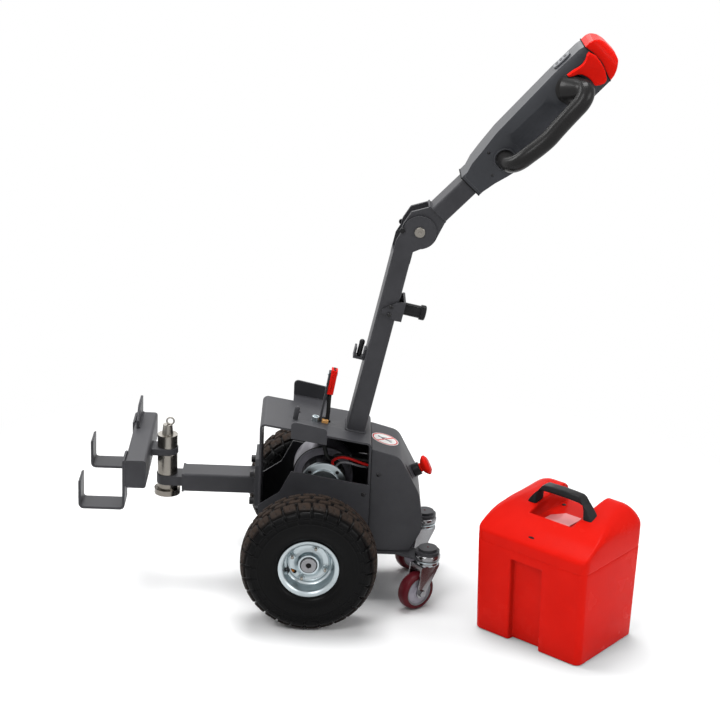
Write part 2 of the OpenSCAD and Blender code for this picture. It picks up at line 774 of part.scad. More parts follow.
module column() {
    wall = tube_wall;
    stop = column_l - 50;
    color(powder) difference() {
        on_column() {
        translate([0, 0, -14]) tube_z(column_x, column_y, stop + 14);
        for (s = [-1, 1]) translate([0, s * (column_y / 2 - 2), 0]) across(4) difference() {
            union() {
                translate([pivot_off, column_l]) circle(eye_r);
                polygon([
                    [-column_x / 2, stop - 14], [column_x / 2, stop - 14], [column_x / 2, column_l - 40],
                    [pivot_off + 20, column_l - eye_r * 0.75], [pivot_off, column_l],
                    [pivot_off - eye_r * 0.8, column_l + eye_r * 0.6], [-column_x / 2, column_l - 24]]);
            }
            translate([pivot_off, column_l]) circle(d = pivot_d + 0.1);
        }
        }
        on_plate(column_foot) translate([-60, -60, -60 - sheet_t - 4]) cube([120, 120, 60]);
    }
}

module pivot_pin() {
    color(zinc) on_column() translate([pivot_off, 0, column_l]) rotate([90, 0, 0])
        cylinder(d = pivot_d, h = column_y + 3, center = true);
}

// Distance of the rest bracket's rear face behind the column's middle
rest_back = column_x / 2 + 12;

module rest_bracket() {
    color(powder) on_column() {
        for (s = [-1, 1]) translate([0, s * (column_y / 2 + 2.2), 0]) across(4)
            polygon([
                [-11, rest_at + 2.5], [column_x / 2 - 5, rest_at + 21.7], [rest_back, rest_at + 25],
                [rest_back, rest_at - 13.6], [column_x / 2 - 1, rest_at - 14], [-9.6, rest_at - 4.5]]);
        translate([rest_back - 4, -column_y / 2 - 4.2, rest_at - 13.6]) cube([4, column_y + 8.4, 38.6]);
    }
}

module rest_buffer() {
    cap = 11;
    color(black) on_column() translate([rest_back, 0, rest_at + 4]) rotate([0, 90, 0]) {
        cylinder(d = buffer_d, h = buffer_l - cap);
        translate([0, 0, buffer_l - cap]) cylinder(d = buffer_d + 5, h = cap - 2);
        translate([0, 0, buffer_l - 2]) cylinder(d1 = buffer_d + 5, d2 = buffer_d + 1, h = 2);
    }
}

latch_at = 140;

module latch_bracket() {
    color(powder) on_column() translate([-column_x / 2 - 22, -12, latch_at]) difference() {
        cube([22, 24, 22]);
        translate([4, -1, 4]) cube([14, 26, 30]);
    }
}

module latch_pin() {
    color(black) on_column() translate([-column_x / 2 - 11, 0, latch_at + 4]) cylinder(d = 10, h = 30);
}

// Connector on its post

module on_plate(x) {
    translate([x, 0, plate_z(x)]) rotate([0, top_slope, 0]) children();
}

module connector_post() {
    color(powder) on_plate(post_x) translate([0, -post_w / 2, -sheet_t - 4]) cube([post_t, post_w, post_h + sheet_t + 4]);
}

module connector_block() {
    color(red) on_plate(post_x) translate([post_t, 0, 58]) {
        linear_extrude(50) polygon(soft([[0, -10], [12, -10], [12, 10], [0, 10]], [0, 3, 3, 0]));
        translate([0, -12, 8]) cube([5, 24, 34]);
    }
}

// Tiller

module on_tiller() {
    translate([pivot_x, 0, pivot_z]) rotate([0, -tiller_angle, 0]) children();
}

yoke_y = column_y / 2 - 4.6;

module arm() {
    color(powder) on_tiller() {
        for (s = [-1, 1]) translate([0, s * (yoke_y - 3), 0]) across(6) difference() {
            union() {
                circle(eye_r + 3);
                polygon([[-6, 33.4], [16, 38], [arm_start, 22], [arm_start, -21], [14, -31], [0, -30]]);
            }
            circle(d = pivot_d + 2 * run_gap);
        }
        translate([arm_start, -yoke_y, -21]) cube([4, 2 * yoke_y, 43]);
        translate([arm_start + 4, 0, -1.5]) rotate([0, 90, 0])
            tube_z(arm_h, arm_w, head_start + 40 - arm_start);
    }
}

neck_y = 36;
tip_y = 38;
// Where the boss of a handle's upper end sits along the tiller, and its height above the axis
boss_u = 382;
boss_v = 9;
boss_d = 44;
// Seam between the head and its red nose, from the top down
nose_seam = [[head_end + 6, 42], [head_end + 9, 20], [head_end + 8, -2], [head_end + 1, -21], [head_end - 3, -36]];

module head_side() {
    polygon([
        [head_start + 6, -24], [head_start + 6, 19], [160, 28], [232, 38], [300, 41], [380, 44],
        [head_end - 4, 44], nose_seam[0] - [0.4, 0], nose_seam[1] - [0.4, 0], nose_seam[2] - [0.4, 0],
        nose_seam[3] - [0.4, 0], nose_seam[4] - [0.4, 0], [400, -37],
        [340, -38], [225, -40], [208, -39], [165, -29]]);
}

module head_plan() {
    w = head_w / 2;
    polygon([
        [head_start, -32], [165, -33], [190, -neck_y], [238, -neck_y], [262, -w], [300, -w],
        [boss_u - 32, -tip_y], [head_end + 20, -tip_y], [head_end + 20, tip_y], [boss_u - 32, tip_y],
        [300, w], [262, w], [238, neck_y], [190, neck_y], [165, 33], [head_start, 32]]);
}

// Outline of the head seen along the tiller, with its narrow flat top
module head_section() {
    w = head_w / 2;
    t = head_top_w / 2;
    polygon([
        [w, 14], [t, 43], [t - 6, 60], [6 - t, 60], [-t, 43], [-w, 14], [-w, -14],
        [-w + 10, -40], [-w + 10, -50], [w - 10, -50], [w - 10, -40], [w, -14]]);
}

// Shallow scoop in a side of the head, running out towards the handle's upper end
module head_scoop(side) {
    r = 60;
    translate([242, side * (head_w / 2 + r - scoop), -2]) rotate([0, 90, 0]) {
        cylinder(r = r, h = 90);
        translate([0, 0, 90]) cylinder(r1 = r, r2 = r - scoop - 2, h = 62);
    }
}

module control_head() {
    color(powder) on_tiller() difference() {
        union() {
            intersection() {
                across(head_w + 8) head_side();
                translate([0, 0, -50]) linear_extrude(110) head_plan();
                rotate([90, 0, 90]) linear_extrude(500) head_section();
            }
            translate([head_start, -31, -25]) cube([40, 62, 47]);
        }
        translate([head_start - 1, -arm_w / 2 - 0.2, -1.5 - arm_h / 2 - 0.2])
            cube([48, arm_w + 0.4, arm_h + 0.4]);
        for (side = [-1, 1]) head_scoop(side);
    }
}

module head_pad() {
    color([0.5, 0.5, 0.52]) on_tiller() translate([404, 0, 44]) linear_extrude(4) round_rect(40, 26, 12);
}

module nose_button() {
    color(red) on_tiller() translate([0, 0, 0]) intersection() {
        across(2 * tip_y) polygon([
            nose_seam[4], nose_seam[3], nose_seam[2], nose_seam[1], nose_seam[0],
            [463, 42], [472, 39.5], [480, 31], [nose_end + 1, 16], [nose_end, -6], [479, -20], [466, -29],
            [455, -34]]);
        translate([head_end - 20, 0, -50]) linear_extrude(110)
            round_rect(2 * (nose_end - head_end + 20), 2 * tip_y, 22);
    }
}

module throttle(side) {
    color(red) on_tiller() translate([0, side * (tip_y + 6.3), 0]) across(12) polygon(soft([
        [405, 30], [406, 33], [425, 28], [436, 31], [448, 30], [455, 22], [458, 8], [452, -14], [438, -31],
        [421, -22], [423, 0], [419, 19]], [1, 1, 5, 4, 3, 4, 5, 6, 3, 3, 6, 4], 3));
}

module throttle_near() { throttle(NEAR); }
module throttle_far() { throttle(FAR); }

handle_path = [
    [209, neck_y + 0.3, -8], [210, 54, -9.5], [214, 71, -12.5], [223, 83, -15.5], [236, 90, -17.5],
    [252, grip_y, -19], [274, grip_y + 0.5, -21.5], [296, grip_y + 0.5, -22.5], [320, grip_y, -20.5],
    [346, grip_y, -18.5], [366, grip_y - 0.5, -17.5], [382, grip_y - 2, -16.5], [396, grip_y - 6, -12.5],
    [406, grip_y - 13, -5], [410, grip_y - 21, 3], [408, 61, 8], [400, 51, 10], [388, tip_y + 0.3, 10]];

module handle(side) {
    color(black) on_tiller() mirror([0, side < 0 ? 1 : 0, 0]) difference() {
        union() {
            rod(concat([handle_path[0] - [1, 16, 0]], handle_path, [[boss_u - 6, 20, boss_v]]), grip_d, 20);
            translate([boss_u, tip_y + 0.3, boss_v]) rotate([-90, 0, 0])
                cylinder(d1 = boss_d, d2 = grip_d - 4, h = 10, $fn = 40);
        }
        translate([handle_path[0][0] - grip_d, -tip_y, -60]) cube([2 * grip_d, tip_y + neck_y + 0.3, 120]);
        translate([boss_u - 40, -tip_y, -60]) cube([80, 2 * tip_y + 0.3, 120]);
    }
}

module handle_near() { handle(NEAR); }
module handle_far() { handle(FAR); }

// Battery pack on the floor

module at_battery() {
    translate([battery_x, -battery_y, 0]) rotate([0, 0, battery_turn]) children();
}

// Outline of the battery at its seam, with the broad front face leaning out
module seam_rect() {
    translate([-battery_lean / 2, 0]) round_rect(battery_top_t, battery_top_w, battery_r);
}

module battery_case() {
    h = battery_seam - 0.3;
    back = battery_lean * groove_h / h;
    color(red) at_battery() difference() {
        hull() {
            linear_extrude(0.5) round_rect(battery_t, battery_w, battery_r, $fn = 32);
            translate([0, 0, h - 0.5]) linear_extrude(0.5) seam_rect($fn = 32);
        }
        // Groove in the front face
        rotate([90, 0, 0]) translate([0, 0, -groove_y1]) linear_extrude(groove_y1 - groove_y0) polygon([
            [-battery_t, -1], [groove_depth - battery_t / 2, -1],
            [groove_depth - battery_t / 2 - back, groove_h], [-battery_t, groove_h]]);
    }
}

// Outline of the lid seen from its narrow side, front to back
module lid_side() {
    h = battery_t / 2;
    z = battery_seam;
    f = -h - battery_lean;
    polygon([
        [f, z], [f, battery_low - 6], [f + 3, battery_low], [f + 12, battery_low + 6], [f + 26, battery_low + 11],
        [-48, battery_high - 29], [-20, battery_high - 19], [10, battery_high - 11], [40, battery_high - 5],
        [68, battery_high], [h - 11, battery_high - 1], [h - 3, battery_high - 10], [h, battery_high - 26],
        [h, z]]);
}

// Outline of the lid seen from its broad side, with rounded shoulders
module lid_end() {
    w = battery_top_w / 2;
    r = 26;
    polygon(concat(
        [[-w, battery_seam - 1], [w, battery_seam - 1]],
        arc(w - r, battery_high - r + 1, r, 0, 90, 6),
        arc(r - w, battery_high - r + 1, r, 90, 180, 6)));
}

module battery_lid() {
    color(red) at_battery() difference() {
        intersection() {
            translate([0, 0, battery_seam]) linear_extrude(120) seam_rect();
            across(battery_top_w + 2) lid_side();
            rotate([90, 0, 90]) linear_extrude(2 * battery_top_t, center = true) lid_end();
        }
        translate([-notch_front, -notch_w / 2, notch_z]) cube([300, notch_w, 200]);
        for (s = [-1, 1]) translate([0, s * handle_span / 2, 200]) linear_extrude(200)
            square([28, 16], center = true);
    }
}

module battery_handle() {
    w = handle_span / 2;
    top = battery_handle_z;
    color(black) at_battery() {
        rotate([90, 0, 90]) linear_extrude(18, center = true) polygon([
            [-w - 6, handle_foot], [-w + 6, handle_foot], [-w + 8, top - 24], [-w + 20, top - 11],
            [w - 20, top - 11], [w - 8, top - 24], [w - 6, handle_foot], [w + 6, handle_foot],
            [w + 2, top - 24], [w - 12, top], [-w + 12, top], [-w - 2, top - 24]]);
    }
}

in_frame() chassis_frame();
in_frame() side_panel_near();
in_frame() side_panel_far();
in_frame() base_plate();
in_frame() control_cover();
in_frame() stop_collar();
in_frame() stop_head();
in_frame() drawbar();
in_frame() hitch_pin();
in_frame() hitch_spacer();
in_frame() gearbox();
in_frame() motor();
in_frame() axle();
in_frame() connector_post();
in_frame() connector_block();
in_frame() column();
in_frame() rest_bracket();
in_frame() rest_buffer();
in_frame() latch_bracket();
in_frame() latch_pin();
in_frame() pivot_pin();
in_frame() coupler_lug();
in_frame() cross_bar();
in_frame() hook_near();
in_frame() hook_far();
in_frame() guide_plate();
in_frame() arm();
in_frame() control_head();
in_frame() head_pad();
in_frame() nose_button();
in_frame() throttle_near();
in_frame() throttle_far();
in_frame() handle_near();
in_frame() handle_far();
in_frame() tyre_near();
in_frame() rim_near();
in_frame() tyre_far();
in_frame() rim_far();
in_frame() caster_fork_near();
in_frame() caster_wheel_near();
in_frame() caster_fork_far();
in_frame() caster_wheel_far();
in_frame() battery_case();
in_frame() battery_lid();
in_frame() battery_handle();
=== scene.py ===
# %% [markdown]
# This notebook dresses a small walk-behind electric tug: a two-wheel drive unit with a
# steep column, a folding tiller, a hitch coupler with two J-hooks, and a red battery
# pack that stands on the floor beside it. The CAD solids come first and stay where they
# are. Each later cell gives one piece its real finish, or adds the small parts that a
# CAD solid leaves out.

# %% Load the CAD frame
import json
import math

import bmesh
import bpy
from mathutils import Matrix, Vector

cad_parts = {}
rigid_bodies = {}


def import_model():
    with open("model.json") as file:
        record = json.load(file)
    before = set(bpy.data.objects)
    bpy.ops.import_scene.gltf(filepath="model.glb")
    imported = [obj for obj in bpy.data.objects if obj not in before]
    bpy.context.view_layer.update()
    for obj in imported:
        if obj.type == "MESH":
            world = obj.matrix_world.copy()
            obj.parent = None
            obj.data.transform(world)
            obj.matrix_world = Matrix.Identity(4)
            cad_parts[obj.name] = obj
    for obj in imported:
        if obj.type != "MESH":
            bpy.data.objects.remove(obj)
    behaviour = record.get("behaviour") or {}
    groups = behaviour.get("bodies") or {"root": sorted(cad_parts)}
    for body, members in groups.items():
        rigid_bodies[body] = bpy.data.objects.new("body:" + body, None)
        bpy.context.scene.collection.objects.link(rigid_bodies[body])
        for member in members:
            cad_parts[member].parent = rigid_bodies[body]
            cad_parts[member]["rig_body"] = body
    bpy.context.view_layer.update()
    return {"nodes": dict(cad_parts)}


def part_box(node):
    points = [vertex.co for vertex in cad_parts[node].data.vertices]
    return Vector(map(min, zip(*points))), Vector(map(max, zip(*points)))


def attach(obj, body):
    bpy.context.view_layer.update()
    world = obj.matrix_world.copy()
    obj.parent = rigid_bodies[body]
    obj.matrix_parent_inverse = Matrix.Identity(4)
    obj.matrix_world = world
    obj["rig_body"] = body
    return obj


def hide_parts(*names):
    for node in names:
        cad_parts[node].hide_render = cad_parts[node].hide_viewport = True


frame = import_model()
nodes = frame["nodes"]
scene = bpy.context.scene

# %% [markdown]
# All sizes below are in millimetres from the middle of the drive axle at floor level,
# as a workshop drawing would give them: X to the rear, Y to the far side, Z up. One
# helper turns them into metres in the row's frame, where the CAD says the axle is. The
# others give seats: frames on the plate, the column or a wheel, in which a small part is
# drawn flat and then simply put down.

# %% The workshop frame
axle_low, axle_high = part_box("axle")
AXLE = Vector(((axle_low[0] + axle_high[0]) / 2, (axle_low[1] + axle_high[1]) / 2, 0))
MM = 0.001
SIDES = ((-1, "near"), (1, "far"))


def place(x, y, z):
    """A point of the drawing, in metres in the row's frame."""
    return AXLE + Vector((x, y, z)) * MM


def swing(degrees):
    """The cosine and sine of an angle in degrees."""
    return math.cos(math.radians(degrees)), math.sin(math.radians(degrees))


def turned(degrees, axis):
    return Matrix.Rotation(math.radians(degrees), 4, axis)


def along(origin, x_axis, z_axis):
    """A frame at a point of the drawing, with its own X and Z directions."""
    z = Vector(z_axis).normalized()
    x = Vector(x_axis)
    x = (x - z * x.dot(z)).normalized()
    turn = Matrix((x, z.cross(x), z)).transposed().to_4x4()
    return Matrix.Translation(place(*origin)) @ turn


def upright(x, y, z):
    return along((x, y, z), (1, 0, 0), (0, 0, 1))


def outward(x, y, z, side):
    """A frame on one side of the tug, whose Z looks away from the tug."""
    return along((x, side * y, z), (1, 0, 0), (0, side, 0))


def shifted(seat, x, y, z):
    """A frame moved by millimetres along its own directions."""
    return seat @ Matrix.Translation(Vector((x, y, z)) * MM)


def sideways(side):
    """Turns a frame so that its Z looks out to the near or far side."""
    return Matrix(((1, 0, 0), (0, 0, side), (0, -side, 0))).to_4x4()


# %% The seats on plate, column, tiller and battery
TOP_Z, TOP_SLOPE = 347.5, 9.2
FOOT_X, COLUMN_L, COLUMN_LEAN, PIVOT_OFF = 81.0, 416.0, 11.5, 21.0
TILLER_RISE, BATTERY_SPOT, BATTERY_TURN = 47, (472, -176, 0), 50.5
WHEEL_Y, AXLE_Z, CASTER_X, CASTER_Y = 181, 130, 229.5, 86
top_c, top_s = swing(TOP_SLOPE)
lean_c, lean_s = swing(COLUMN_LEAN)
rise_c, rise_s = swing(TILLER_RISE)


def plate_z(x):
    """Height of the sloping top plate at a distance behind the axle."""
    return TOP_Z - x * math.tan(math.radians(TOP_SLOPE))


FOOT = (FOOT_X, 0, plate_z(FOOT_X))
PIVOT = (FOOT_X + COLUMN_L * lean_s + PIVOT_OFF * lean_c, 0,
         FOOT[2] + COLUMN_L * lean_c - PIVOT_OFF * lean_s)
PLATE = along((0, 0, TOP_Z), (top_c, 0, -top_s), (top_s, 0, top_c))
COLUMN = along(FOOT, (lean_c, 0, -lean_s), (lean_s, 0, lean_c))
TILLER = along(PIVOT, (rise_c, 0, rise_s), (-rise_s, 0, rise_c))
BATTERY = along(BATTERY_SPOT, (*swing(BATTERY_TURN), 0), (0, 0, 1))


def on_plate(x, y=0, z=0):
    """A frame on the sloping top plate, at a level distance behind the axle."""
    return shifted(PLATE, x / top_c, y, z)


print("tiller pivot at", [round(v, 1) for v in PIVOT])

# %% [markdown]
# The camera was fitted to the photograph with points whose places on the tug are known:
# it stands about 3.5 m away, 1.77 m up, looks down 20 degrees and leans a little, as a
# hand-held camera does. Its lens follows from the fitted focal length in pixels.

# %% Camera
FOCAL_PX, FRAME_PX, SENSOR = 1967.66, 720, 36
YAW, DROP, ROLL = 1.19, 20.15, 2.45
(yaw_c, yaw_s), (drop_c, drop_s), (roll_c, roll_s) = map(swing, (YAW, DROP, ROLL))


def link(obj):
    scene.collection.objects.link(obj)
    return obj


look = Vector((yaw_s * drop_c, yaw_c * drop_c, -drop_s))
right = Vector((yaw_c, -yaw_s, 0))
up = right.cross(look)
camera_axes = (right * roll_c + up * roll_s, up * roll_c - right * roll_s, -look)
camera_data = bpy.data.cameras.new("camera")
camera_data.sensor_width = SENSOR
camera_data.lens = FOCAL_PX / FRAME_PX * SENSOR
camera_data.clip_end = 100
camera = link(bpy.data.objects.new("camera", camera_data))
camera.matrix_world = (Matrix.Translation(place(10.7, -3537.4, 1769.8))
                       @ Matrix(camera_axes).transposed().to_4x4())
bpy.context.scene.camera = camera
scene.view_settings.view_transform = "Standard"
print("lens", round(camera_data.lens, 2), "mm")

# %% [markdown]
# Every finish is a small tree of shader nodes. Making a node, setting its numbers and
# wiring it up takes many lines by hand, so a few helpers do all three: an input takes
# either a plain value or the output of another node.

# %% Helpers for shader nodes
def feed(tree, socket, value):
    """Wires another node's output into a socket, or sets the socket to a plain value."""
    if isinstance(value, bpy.types.NodeSocket):
        tree.links.new(value, socket)
    else:
        socket.default_value = value


def add_node(tree, kind, ordered=(), **named):
    """A shader node whose inputs are fed in order, or by name with _ for a space."""
    made = tree.nodes.new("ShaderNode" + kind)
    for socket, value in zip(made.inputs, ordered):
        feed(tree, socket, value)
    for label, value in named.items():
        feed(tree, made.inputs[label.replace("_", " ")], value)
    return made


def maths(tree, operation, *values, kind="Math", clamp=False):
    """The number that a Math or Vector Math node makes of some values."""
    made = tree.nodes.new("ShaderNode" + kind)
    made.operation = operation
    if clamp:
        made.use_clamp = True
    for socket, value in zip(made.inputs, values):
        feed(tree, socket, value)
    return made.outputs["Value"]


def spread(tree, source, low, high, out_low=0.0, out_high=1.0):
    """Maps a value from one range to another."""
    return add_node(tree, "MapRange", Value=source, From_Min=low, From_Max=high,
                    To_Min=out_low, To_Max=out_high).outputs["Result"]


def noise(tree, scale, detail, rough):
    """A cloudy pattern in the object's own coordinates."""
    coords = add_node(tree, "TexCoord").outputs["Object"]
    return add_node(tree, "TexNoise", Vector=coords, Scale=scale, Detail=detail,
                    Roughness=rough).outputs["Fac"]


def two_tone(tree, factor, low, high):
    """A colour between two tones by a mask; a tone may also come from another node."""
    made = tree.nodes.new("ShaderNodeMix")
    made.data_type = "RGBA"
    for label, tone in (("A", low), ("B", high)):
        feed(tree, made.inputs[label], (*tone, 1) if isinstance(tone, tuple) else tone)
    feed(tree, made.inputs["Factor"], factor)
    return made.outputs["Result"]


def fresh_tree(owner):
    """The emptied node tree of a material or a world."""
    owner.use_nodes = True
    owner.node_tree.nodes.clear()
    return owner.node_tree


def seen_straight(tree):
    """1 for the camera, reflections and glass, and 0 where a surface only gives light."""
    rays = add_node(tree, "LightPath").outputs
    straight = rays["Is Camera Ray"]
    for kind in ("Is Glossy Ray", "Is Transmission Ray"):
        straight = maths(tree, "MAXIMUM", straight, rays[kind])
    return straight


# %% [markdown]
# A studio floor is a big sheet of paper: white everywhere, with the object's shadow on it.
# Lighting all of it evenly would take far more lamps than the object should get. So the
# floor is an ordinary lit surface close to the tug, where the shadow falls, and fades into
# plain white for the camera and for reflections further out.

# %% The floor
FLOOR_SHADE, SHADOW_REACH, WHITE_FROM, FLOOR_HALF = 0.93, 0.62, 1.15, 30
floor_paper = bpy.data.materials.new("studio_floor")
tree = fresh_tree(floor_paper)
away = maths(tree, "LENGTH", add_node(tree, "TexCoord").outputs["Object"], kind="VectorMath")
fade = add_node(tree, "MapRange", Value=away, From_Min=SHADOW_REACH, From_Max=WHITE_FROM)
fade.interpolation_type = "SMOOTHSTEP"
white_part = maths(tree, "MULTIPLY", seen_straight(tree), fade.outputs["Result"])
paper = add_node(tree, "BsdfDiffuse", Color=(FLOOR_SHADE, FLOOR_SHADE, FLOOR_SHADE, 1))
glow = add_node(tree, "Emission", Color=(1, 1, 1, 1))
mix = add_node(tree, "MixShader", (white_part, paper.outputs[0], glow.outputs[0]))
add_node(tree, "OutputMaterial", (mix.outputs[0],))

floor_mesh = bpy.data.meshes.new("floor")
floor_mesh.from_pydata([(x * FLOOR_HALF, y * FLOOR_HALF, 0) for x, y in
                        ((-1, -1), (1, -1), (1, 1), (-1, 1))], [], [(0, 1, 2, 3)])
floor = link(bpy.data.objects.new("floor", floor_mesh))
floor.location.z = -0.0004
floor_mesh.materials.append(floor_paper)
print("floor lit up to", SHADOW_REACH, "m from the middle")

# %% [markdown]
# The room is bright above and behind the tug, and dim on the camera's side, which a
# world shader makes from the direction of each ray. Five soft area lamps then model the
# shapes: the key and fill light the two sides that the camera sees, and the others draw
# the bright upper edges.

# %% Soft studio light
BRIGHT_WAY, DIM, BRIGHT = (-0.15, 0.65, 0.74), 0.06, 0.44
studio = bpy.data.worlds.new("studio")
scene.world = studio
tree = fresh_tree(studio)
way = maths(tree, "DOT_PRODUCT", add_node(tree, "TexCoord").outputs["Generated"], BRIGHT_WAY,
            kind="VectorMath")
lit = add_node(tree, "Background", Color=(0.97, 0.98, 1, 1),
               Strength=spread(tree, way, -0.7, 0.8, DIM, BRIGHT))
white = add_node(tree, "Background", Color=(1, 1, 1, 1), Strength=1.0)
mix = add_node(tree, "MixShader", (seen_straight(tree), lit.outputs[0], white.outputs[0]))
add_node(tree, "OutputWorld", (mix.outputs[0],))


def lamp(name, spot, size, watts):
    """A soft area lamp that looks at the middle of the tug."""
    data = bpy.data.lights.new(name, "AREA")
    data.shape = "RECTANGLE"
    data.size, data.size_y = size
    data.energy = watts
    obj = link(bpy.data.objects.new(name, data))
    obj.location = spot
    obj.rotation_mode = "QUATERNION"
    obj.rotation_quaternion = (Vector((0, 0, 0.45)) - Vector(spot)).to_track_quat("-Z", "Y")


lamp("key", (-1.6, -2.6, 3.4), (1.6, 1.6), 57)
lamp("fill", (2.8, -1.8, 2.0), (2.0, 1.2), 40)
lamp("top", (0.0, 0.5, 3.4), (1.8, 1.4), 84)
lamp("back", (-0.8, 3.0, 2.4), (2.4, 1.2), 26)
lamp("left", (-2.8, 0.9, 2.5), (1.3, 1.3), 42)
print("lamps:", len(bpy.data.lights))

# %% [markdown]
# Most of the tug is steel with a dark grey powder coat. It is satin, a little pebbly
# when seen close, and lighter where edges have rubbed. One node group makes the pebble
# grain and a second makes the edge mask, and every coated piece uses both. The edge mask
# compares the true normal with one that a Bevel node has rounded off.

# %% Shared surface effects
def effect_group(name, inputs, outputs):
    """A node group whose inputs are numbers with a default and whose outputs are numbers."""
    group = bpy.data.node_groups.new(name, "ShaderNodeTree")
    for label, value in inputs.items():
        socket = group.interface.new_socket(name=label, in_out="INPUT",
                                            socket_type="NodeSocketFloat")
        socket.default_value = value
    for label in outputs:
        group.interface.new_socket(name=label, in_out="OUTPUT", socket_type="NodeSocketFloat")
    return group, group.nodes.new("NodeGroupInput").outputs, group.nodes.new("NodeGroupOutput")


grain_group, given, result = effect_group(
    "surface grain", {"Scale": 400.0, "Roughness low": 0.4, "Roughness high": 0.55},
    ("Height", "Roughness", "Cloud"))
cloud = noise(grain_group, 9, 4, 0.6)
for label, made in (
        ("Height", noise(grain_group, given["Scale"], 2, 0.5)),
        ("Roughness", spread(grain_group, cloud, 0.3, 0.7, given["Roughness low"],
                             given["Roughness high"])),
        ("Cloud", cloud)):
    feed(grain_group, result.inputs[label], made)

edge_group, given, result = effect_group("edge wear", {"Radius": 0.002}, ("Mask",))
bevel = add_node(edge_group, "Bevel", Radius=given["Radius"])
bevel.samples = 6
true_normal = add_node(edge_group, "NewGeometry").outputs["Normal"]
alike = maths(edge_group, "DOT_PRODUCT", bevel.outputs["Normal"], true_normal,
              kind="VectorMath")
patches = spread(edge_group, noise(edge_group, 60, 5, 0.7), 0.35, 0.65)
worn = maths(edge_group, "MULTIPLY", spread(edge_group, alike, 0.995, 0.8), patches, clamp=True)
feed(edge_group, result.inputs["Mask"], worn)
print("effect groups:", [group.name for group in bpy.data.node_groups])


# %% Materials that use the effects
def new_material(name):
    """An empty node material with its Principled BSDF and output."""
    material = bpy.data.materials.new(name)
    tree = fresh_tree(material)
    shader = add_node(tree, "BsdfPrincipled")
    add_node(tree, "OutputMaterial", (shader.outputs[0],))
    return material, tree, shader


def use_group(tree, group, **values):
    made = tree.nodes.new("ShaderNodeGroup")
    made.node_tree = group
    for label, value in values.items():
        made.inputs[label.replace("_", " ")].default_value = value
    return made.outputs


def bump(tree, shader, height, strength, depth_mm):
    made = add_node(tree, "Bump", Strength=strength, Distance=depth_mm * MM, Height=height)
    feed(tree, shader.inputs["Normal"], made.outputs["Normal"])


def coated(name, low, high, rough, grain=700, bump_mm=0.05, wear=None, metallic=0.0,
           strength=0.25, gloss=0.13):
    """A coated, cast or moulded surface: cloudy tone, fine grain and rubbed edges."""
    material, tree, shader = new_material(name)
    effect = use_group(tree, grain_group, Scale=grain, Roughness_low=rough[0],
                       Roughness_high=rough[1])
    colour = two_tone(tree, spread(tree, effect["Cloud"], 0.35, 0.65), low, high)
    if wear:
        edge = use_group(tree, edge_group, Radius=wear[0])["Mask"]
        colour = two_tone(tree, edge, colour, wear[1])
    feed(tree, shader.inputs["Base Color"], colour)
    feed(tree, shader.inputs["Roughness"], effect["Roughness"])
    shader.inputs["Metallic"].default_value = metallic
    if not metallic:
        shader.inputs["Specular IOR Level"].default_value = gloss
    bump(tree, shader, effect["Height"], strength, bump_mm)
    return material


# %% [markdown]
# Each finish on the tug is one material: satin dark grey powder coat on the steel, glossy
# red plastic on the battery and the controls, black rubber, zinc plate, chrome and cast
# aluminium. The tone drifts a little over the surface and the roughness drifts with it,
# because a perfectly even surface looks like plastic from a toy box.

# %% The dark finishes
powder_coat = coated(
    "powder_coat_dark_grey", (0.040, 0.040, 0.044), (0.052, 0.052, 0.057), (0.36, 0.48),
    wear=(0.0012, (0.12, 0.12, 0.125)), grain=900, bump_mm=0.06)
rubber_black = coated("handle_rubber", (0.010, 0.010, 0.010), (0.015, 0.014, 0.014),
                      (0.24, 0.36), grain=900, bump_mm=0.03)
moulded_black = coated("moulded_black", (0.010, 0.010, 0.011), (0.017, 0.017, 0.018),
                       (0.28, 0.4), grain=1200)
head_plastic = coated("head_plastic", (0.034, 0.036, 0.041), (0.045, 0.047, 0.053),
                      (0.26, 0.36), grain=1500, wear=(0.0018, (0.13, 0.13, 0.14)), gloss=0.2)
pad_grey = coated("pad_grey", (0.17, 0.175, 0.185), (0.22, 0.225, 0.235), (0.35, 0.5),
                  grain=900)
# Near-black: the real dark joints, and painted shade in holes, slots, a nick and the inner skirt
dark_joint_and_painted_shade = coated("dark_joint_and_painted_shade", (0.004, 0.004, 0.004), (0.007, 0.007, 0.007), (0.6, 0.8),
                  grain=300)
rubber_polish = rubber_black.node_tree.nodes["Principled BSDF"].inputs
rubber_polish["Coat Weight"].default_value = 0.06
rubber_polish["Coat Roughness"].default_value = 0.06

# %% The metals
zinc_plate = coated("zinc_plate", (0.34, 0.39, 0.41), (0.47, 0.52, 0.54), (0.24, 0.4),
                    grain=120, metallic=1.0, bump_mm=0.03, strength=0.1)
pin_steel = coated("pin_steel", (0.18, 0.165, 0.145), (0.28, 0.265, 0.24), (0.2, 0.34),
                   grain=200, metallic=1.0, bump_mm=0.03, strength=0.15)
chrome = coated("chrome", (0.20, 0.20, 0.205), (0.30, 0.30, 0.31), (0.16, 0.28),
                grain=100, metallic=1.0, bump_mm=0.02, strength=0.08)
motor_grey = coated("motor_grey", (0.26, 0.25, 0.29), (0.34, 0.33, 0.37), (0.3, 0.46),
                    grain=350, metallic=0.35)
cast_grey = coated("cast_grey", (0.20, 0.20, 0.21), (0.28, 0.28, 0.29), (0.38, 0.55),
                   grain=250, metallic=0.6, bump_mm=0.2, strength=0.5)
black_steel = coated(
    "black_oxide_steel", (0.012, 0.012, 0.013), (0.022, 0.022, 0.024), (0.25, 0.4),
    grain=300, metallic=0.7, wear=(0.0008, (0.2, 0.19, 0.18)))

